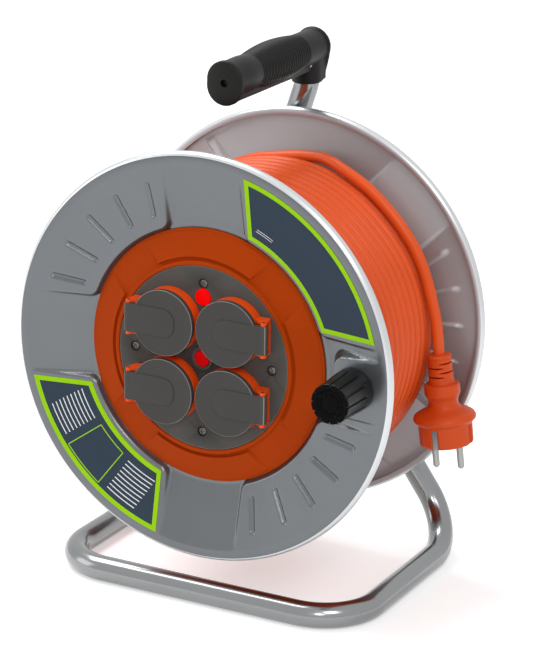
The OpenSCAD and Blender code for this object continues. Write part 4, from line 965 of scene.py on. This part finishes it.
def makeLid(k, v):
    low, high, w = v["low"], v["high"], v["tongueHalf"]
    profile = softCorners([(0, low + 0.3), (18.2, low + 0.3), (19.4, low), (19.88, low)], 0.2, 2).tolist()
    profile += [(19.9, low + 0.9), (21.5, low + 0.9), (21.52, low), (22.6, low)]
    rounded = [(22.6, low), (v["radius"], low + 0.1), (v["radius"], high), (22.2, high)]
    profile += softCorners(rounded, v["edge"], 5).tolist()
    profile += [(21.4, high - 0.02), (21.0, high - 0.18), (20.6, high - 0.2), (0, high - 0.2)]
    outX, inX, r, r2 = v["hingeX"] - 2.6, v["innerEnd"] + v["corner"], v["outerCorner"], v["corner"]
    outline = cornered([(outX, r - w, -90, r), (outX, w - r, 0, r), (inX, w - r2, 90, r2), (inX, r2 - w, 180, r2)], 10)
    tongue = slab(outline, low + 1, high + v["tongueRise"], 0.45)
    b, hole = v["barrel"], v["bore"]
    rim = [(hole, -w), (b - 0.4, -w), (b, 0.4 - w), (b, w - 0.4), (b - 0.4, w), (hole, w)]
    rim += [(hole, 6.0), (1.88, 5.9), (1.88, -5.9), (hole, -6.0)]
    hinge = Matrix.Translation((v["hingeX"], 0, v["hingeA"])) @ Matrix.Rotation(-math.pi / 2, 4, "X")
    # web that carries the flat top on over the bore
    web = slab(roundBox(v["hingeX"] - 4, v["hingeX"] + 0.3, -w, w, 0.3, 2), 9.66, high + v["tongueRise"] - 0.02, 0.3)
    parts, number = [lathe(profile, 128), tongue, web, moved(lathe(rim, 48, None, True), hinge)], k + 1
    obj = piece(
        "lid%d" % number, parts, socketPlace(k), "cover_%d" % number, m["lidGrey"], ["lid_%d" % number],
        sharp=35)

    def paintedHighlightEdge(spot):  # painted highlight: the rounded front edge gets a lighter grey
        return high - v["shineDown"] < spot.z < high - 0.01 and math.hypot(spot.x, spot.y) > v["radius"] - v["shineIn"]

    lookOf(obj, socketPlace(k), "lidEdge", paintedHighlightEdge)


for k in range(4):
    makeLid(k, lid)
print("lids made")


# lamp, button, knob
dots = {
    "lampLens": {
        "y": 43.5, "body": "drum", "look": "lampRed", "cad": "lamp_lens", "slot": "lamp", "round": 0.4,
        "line": [(0, -5.98), (6.0, -5.98), (6.0, -2.6), (5.6, -1.95), (4.6, -1.9), (0, -1.95)],
    },
    "resetButton": {
        "y": 0.0, "body": "button", "look": "buttonRed", "cad": "reset_button", "slot": "button", "round": 0.35,
        "line": [(0, -11.0), (4.5, -11.0), (4.5, -3.3), (5.9, -3.2), (5.9, -2.0), (5.3, -1.6), (0, -1.75)],
    },
}


def makeDot(name, d):
    part, place = lathe(softCorners(d["line"], d["round"], 4), 72), frontPlace @ Matrix.Translation((0, d["y"], 0))
    piece(name, [part], place, d["body"], m[d["look"]], [d["cad"]])


knob = {
    "x": 117.0, "foot": 3.6, "length": 34.0, "sides": 288, "shadedFrom": 0.5, "barTurn": 8, "bars": 4,
    "flutes": 12, "depth": 1.3, "fluteFrom": 6.5, "fluteOutside": 11.4, "fluteEdge": 0.8,
    "low": [(4.1, 0), (14.2, 0), (15.0, 0.9), (15.0, 5), (14.5, 14)],  # heights from the foot
    "high": [
        (13.9, -6), (13.9, -0.9), (13.1, 0), (10.3, 0), (9.5, -0.7), (9.5, -2.0), (7.3, -2.0), (7.3, -8.1), (4.1, -8.1),
    ],  # heights from the top, as in the cap
    "cap": [
        (0, -1.95), (9.4, -1.95), (9.4, -1.1), (8.6, -0.9), (7.4, -0.9), (7.0, -1.5), (6.2, -1.5), (5.8, -0.75),
        (0, -0.7),
    ],
}


def raised(line, z):
    return [(r, z + h) for r, h in line]


def makeKnob(k):
    f, top, sides = k["foot"], k["foot"] + k["length"], k["sides"]
    place = frontPlace @ Matrix.Translation((k["x"], 0, 0))
    line = spread(softCorners(raised(k["low"], f) + raised(k["high"], top), 0.6, 3), 1.4)
    a = np.repeat(around(sides)[None, :], len(line), 0)
    rays = np.stack([np.cos(a), np.sin(a), 0 * a], 2).reshape(-1, 3)
    inward = -rays @ np.array(place.to_3x3().normalized().transposed())
    narrow = ramp((np.cos(a * k["flutes"]) - k["fluteEdge"]) / 0.16)
    mask = (line[:, :1] > k["fluteOutside"]) * ramp((line[:, 1:] - f - k["fluteFrom"]) / 1.5) * narrow
    obj = ribbed(
        "knobGrip", turned(line, sides), ringFaces(len(line), sides, True).tolist(), place, a / (2 * math.pi), mask,
        inward, k["flutes"], k["depth"], "knobBlack")
    # the knob's front faces get the darker copy: painted shade
    lookOf(obj, place, "knobShadedBlack", lambda spot: spot.z > top - k["shadedFrom"])
    settle(obj, "knob", None, ["knob_grip"])
    bar = slab(roundBox(5.7, 8.0, -0.45, 0.45, 0.3, 2), top - 1.6, top - 0.78, 0.15)
    parts = [lathe(softCorners(raised(k["cap"], top), 0.25, 3), 96)]
    turns = [math.radians(k["barTurn"] + 360 * i / k["bars"]) for i in range(k["bars"])]
    parts += [moved(bar, Matrix.Rotation(t, 4, "Z")) for t in turns]
    piece("knobCap", parts, place, "knob", m["knobShadedBlack"], ["knob_cap"])


for name, values in dots.items():
    makeDot(name, values)
makeKnob(knob)
print("lamp, button and knob made")


# cover sheets on the pads
sheetCut = {
    "gap": 33.0, "inner": 95.0, "outer": 136.1, "border": 3.3, "lift": 0.36, "bottom": 0.04, "ink": 0.05,
    "looks": ("labelNavy", "labelGreen", "labelPale"),
}


def sheetOutline(cut, turnBy, count=40):  # closed outline, the same number of points for each inset
    g, r0, r1 = cut["gap"] + turnBy, cut["inner"] + turnBy, cut["outer"] - turnBy
    c0, c1 = math.asin(g / r0), math.asin(g / r1)

    def side(p, q):
        return [tuple(p + (q - p) * i / 12) for i in range(1, 12)]

    out = [(r1 * math.cos(t), r1 * math.sin(t)) for t in np.linspace(c1, math.pi / 2 - c1, count)]
    out += side(np.array([g, r1 * math.cos(c1)]), np.array([g, r0 * math.cos(c0)]))
    out += [(r0 * math.cos(t), r0 * math.sin(t)) for t in np.linspace(math.pi / 2 - c0, c0, count)]
    out += side(np.array([r0 * math.cos(c0), g]), np.array([r1 * math.cos(c1), g]))
    return np.array(out)


def printed(points, lift):  # lays an outline on the pad
    p = np.array(points, float)
    return np.column_stack([p, cone(np.hypot(p[:, 0], p[:, 1]), flange["padStart"], flange["padDepth"]) + lift])


def sheetObject(name, verts, faces, kinds, place):  # kinds: the look of each face
    mesh = bpy.data.meshes.new(name)
    mesh.from_pydata(verts, [], faces)
    for key in sheetCut["looks"]:
        mesh.materials.append(m[key])
    mesh.polygons.foreach_set("material_index", kinds)
    mesh.transform(place)
    return bareObject(name, mesh)


def makeSheet(name, turn, cadNode, fields, cut=sheetCut):
    low, top = cut["bottom"], cut["lift"]
    middle = (cut["outer"] - cut["inner"]) / 2  # both faces close on the middle line
    loops = [(middle, low), (10.0, low), (0.0, low), (0.0, top - 0.08)]
    loops += [(d, top) for d in (0.1, cut["border"], 8, 13, 18.0, middle)]
    grid = np.stack([printed(sheetOutline(cut, d), lift) for d, lift in loops])
    count = grid.shape[1]
    faces = ringFaces(len(grid), count).tolist()
    place = frontPlace @ Matrix.Rotation(math.radians(turn), 4, "Z")
    green = [int(2 <= i // count < 5) for i in range(len(faces))]
    sheet = sheetObject(name, grid.reshape(-1, 3).tolist(), faces, green, place)
    verts, quads, kinds = [], [], []
    for kind, line, width in fields:  # thin printed rules, a hair over the sheet
        line = spread(line, 2.5)
        d = unit(np.gradient(line, axis=0))
        normal, base = np.stack([-d[:, 1], d[:, 0]], 1) * width / 2, len(verts)
        corners = [(1, cut["ink"]), (-1, cut["ink"]), (-1, -cut["ink"]), (1, -cut["ink"])]
        verts += np.stack([printed(line + k * normal, top + up) for k, up in corners], 1).reshape(-1, 3).tolist()
        quads += [[base + i for i in q] for q in capped(len(line), 4)]
        kinds += [kind] * (4 * len(line) - 2)
    rules = sheetObject(name + "Print", verts, quads, kinds, place)
    clean(rules.data)
    settle(rules, "drum", None)
    clean(sheet.data, 2e-7)
    settle(sheet, "drum", None, [cadNode])


def arcLine(r, a0, a1, n):
    return [(r * math.cos(math.radians(t)), r * math.sin(math.radians(t))) for t in np.linspace(a0, a1, n)]


upperFields = [(2, arcLine(103.6, 60, 67.5, 6), 0.4), (2, arcLine(105.2, 60, 67.2, 6), 0.4)]
lowerFields = []
for k in range(9):
    lowerFields.append((2, arcLine(104.0 + 3.1 * k, 22 + 0.25 * k, 34.5, 8), 0.7))
    lowerFields.append((2, arcLine(104.0 + 3.1 * k, 55.5, 69 - 0.3 * k, 8), 0.7))
greenBox = arcLine(102.5, 38, 52, 8) + arcLine(131.5, 52.5, 37.5, 10) + arcLine(102.5, 38, 38, 1)
lowerFields.append((1, greenBox, 0.7))

makeSheet("coverSheetUpper", 0, "label_upper", upperFields)
makeSheet("coverSheetLower", 180, "label_lower", lowerFields)
print("cover sheets laid")


# screws
screws = {
    "plate": dict(count=4, ring=53.0, first=90.0, head=2.8, seat=-4.58, height=1.4, shank=1.55, length=13.5),
    "rear": dict(count=6, ring=77.0, first=30.0, head=3.5, seat=-7.68, height=2.4, shank=2.0, length=13.5),
}


def screwPart(s):  # pan head with a cross recess
    h, head, shank, low = s["height"], s["head"], s["shank"], -s["length"]
    line = [(0, low), (shank * 0.6, low), (shank, low + 1), (shank, 0.0), (head, 0.0), (head, h * 0.35)]
    line += [(head * math.cos(t), h * 0.35 + h * 0.65 * math.sin(t)) for t in np.linspace(0.2, 1.3, 6)]
    line += [(head * k, h) for k in (0.26, 0.2, 0.12, 0.06, 0)]

    def cross(r, z, a):
        x, y = np.abs(r * np.cos(a)), np.abs(r * np.sin(a))
        arm = ramp((0.16 * head - np.minimum(x, y)) / (0.06 * head) + 0.5) * (np.maximum(x, y) < 0.62 * head)
        return r, np.where((z > h * 0.5), z - arm * h * 0.55, z)

    return lathe(line, 48, cross)


def makeScrews(name, s, place, cadNode, look):
    obj = bareObject(name, meshOf(name, [screwPart(s)], Matrix.Identity(4), 30))
    values = {"Count": s["count"], "Radius": s["ring"], "firstAngle": math.radians(s["first"]), "Material": m[look]}
    applyTree(obj, trees["ring"], values)
    obj.data.transform(place @ Matrix.Translation((0, 0, s["seat"])))
    settle(obj, "drum", None, [cadNode])


makeScrews("plateScrews", screws["plate"], frontPlace, "plate_screws", "darkSteel")
makeScrews("rearScrews", screws["rear"], rearPlace, "rear_screws", "steel")
print("screws set")


# finishes of the parts that keep their own shape
partFinish = {
    "steel": [
        "axle", "axle_nut", "front_screws", "carrier_screws", "plug_pins", "plug_earth_contacts", "earth_clips",
        "hinge_pins", "knob_bolt", "knob_nut",
    ],
    "tubeZinc": ["axle_spacer"],
    "darkSteel": ["axle_circlip", "lid_springs", "button_spring"],
    "brass": ["contact_sleeves"],
    "whiteNylon": ["thrust_washer", "hub_bush", "lamp_body", "terminal_block"],
    "hubBlack": ["rear_hub", "socket_carrier", "breaker_body", "cable_clamp"],
    "barrelBrown": ["drum_barrel"],
    "cableOrange": ["inner_lead"],
    "plateGrey": ["socket_plate"],
    "socketOrange": ["socket_1", "socket_2", "socket_3", "socket_4", "hinge_brackets"],
    "gasketRubber": ["lid_gasket_1", "lid_gasket_2", "lid_gasket_3", "lid_gasket_4"],
}
for key, names in partFinish.items():
    for name in names:
        part = nodes[name]
        if not part.material_slots:
            part.data.materials.append(m[key])
        for s in part.material_slots:
            s.material = m[key]
left = [n for n, o in nodes.items() if not o.hide_render and n not in sum(partFinish.values(), [])]
print("finishes set, parts without one:", left)


# floor, world and lamps: place, size in metres and watts
studio = {
    "surround": 0.52,
    "floorHalf": 5.0,
    "aim": (0, 0, 0.18),
    "floor": (0.86, 0.86, 0.86, 1),
    "floorLift": 0.42,
    "lamps": [
        ("keyLamp", (1.2, -1.2, 1.7), 0.7, 11.0),
        ("leftLamp", (-2.2, -1.2, 0.9), 1.4, 9.0),
        ("frontLamp", (0.8, -1.9, 1.2), 0.32, 5.5),
        ("topLamp", (-1.0, 0.1, 2.2), 1.3, 38.0),
    ],
}


def seen(tree):  # 1 where the camera looks straight, over a mirror or through glass
    path = tree.nodes.new("ShaderNodeLightPath").outputs
    straight = mathNode(tree, "MAXIMUM", path["Is Camera Ray"], path["Is Glossy Ray"])
    return mathNode(tree, "MAXIMUM", straight, path["Is Transmission Ray"])


def makeStudio(s):
    white = (1, 1, 1, 1)
    world = bpy.data.worlds.new("studioWorld")
    bpy.context.scene.world = world
    world.use_nodes = True
    tree = world.node_tree
    tree.nodes.clear()
    out, mix = tree.nodes.new("ShaderNodeOutputWorld"), tree.nodes.new("ShaderNodeMixShader")
    for place, strength in ((1, s["surround"]), (2, 1.0)):
        sky = tree.nodes.new("ShaderNodeBackground")
        sky.inputs["Color"].default_value, sky.inputs["Strength"].default_value = white, strength
        tree.links.new(sky.outputs[0], mix.inputs[place])
    wire(tree, (seen(tree), mix.inputs[0]), (mix.outputs[0], out.inputs["Surface"]))

    h = s["floorHalf"]
    mesh = bpy.data.meshes.new("studioFloor")
    mesh.from_pydata([(-h, -h, 0), (h, -h, 0), (h, h, 0), (-h, h, 0)], [], [(0, 1, 2, 3)])
    floor = bareObject("studioFloor", mesh)
    mat = bpy.data.materials.new("floorWhite")
    mat.use_nodes = True
    tree = mat.node_tree
    skin = tree.nodes["Principled BSDF"]
    for key, value in (("Base Color", s["floor"]), ("Roughness", 0.9), ("Emission Color", white)):
        skin.inputs[key].default_value = value
    tree.links.new(mathNode(tree, "MULTIPLY", seen(tree), s["floorLift"]), skin.inputs["Emission Strength"])
    mesh.materials.append(mat)

    for name, spot, size, power in s["lamps"]:
        data = bpy.data.lights.new(name, "AREA")
        data.size, data.energy = size, power
        lamp = bareObject(name, data)
        lamp.location = spot
        lamp.rotation_euler = (Vector(s["aim"]) - Vector(spot)).to_track_quat("-Z", "Y").to_euler()


makeStudio(studio)
bpy.context.scene.view_settings.view_transform = "Standard"
print("studio ready")
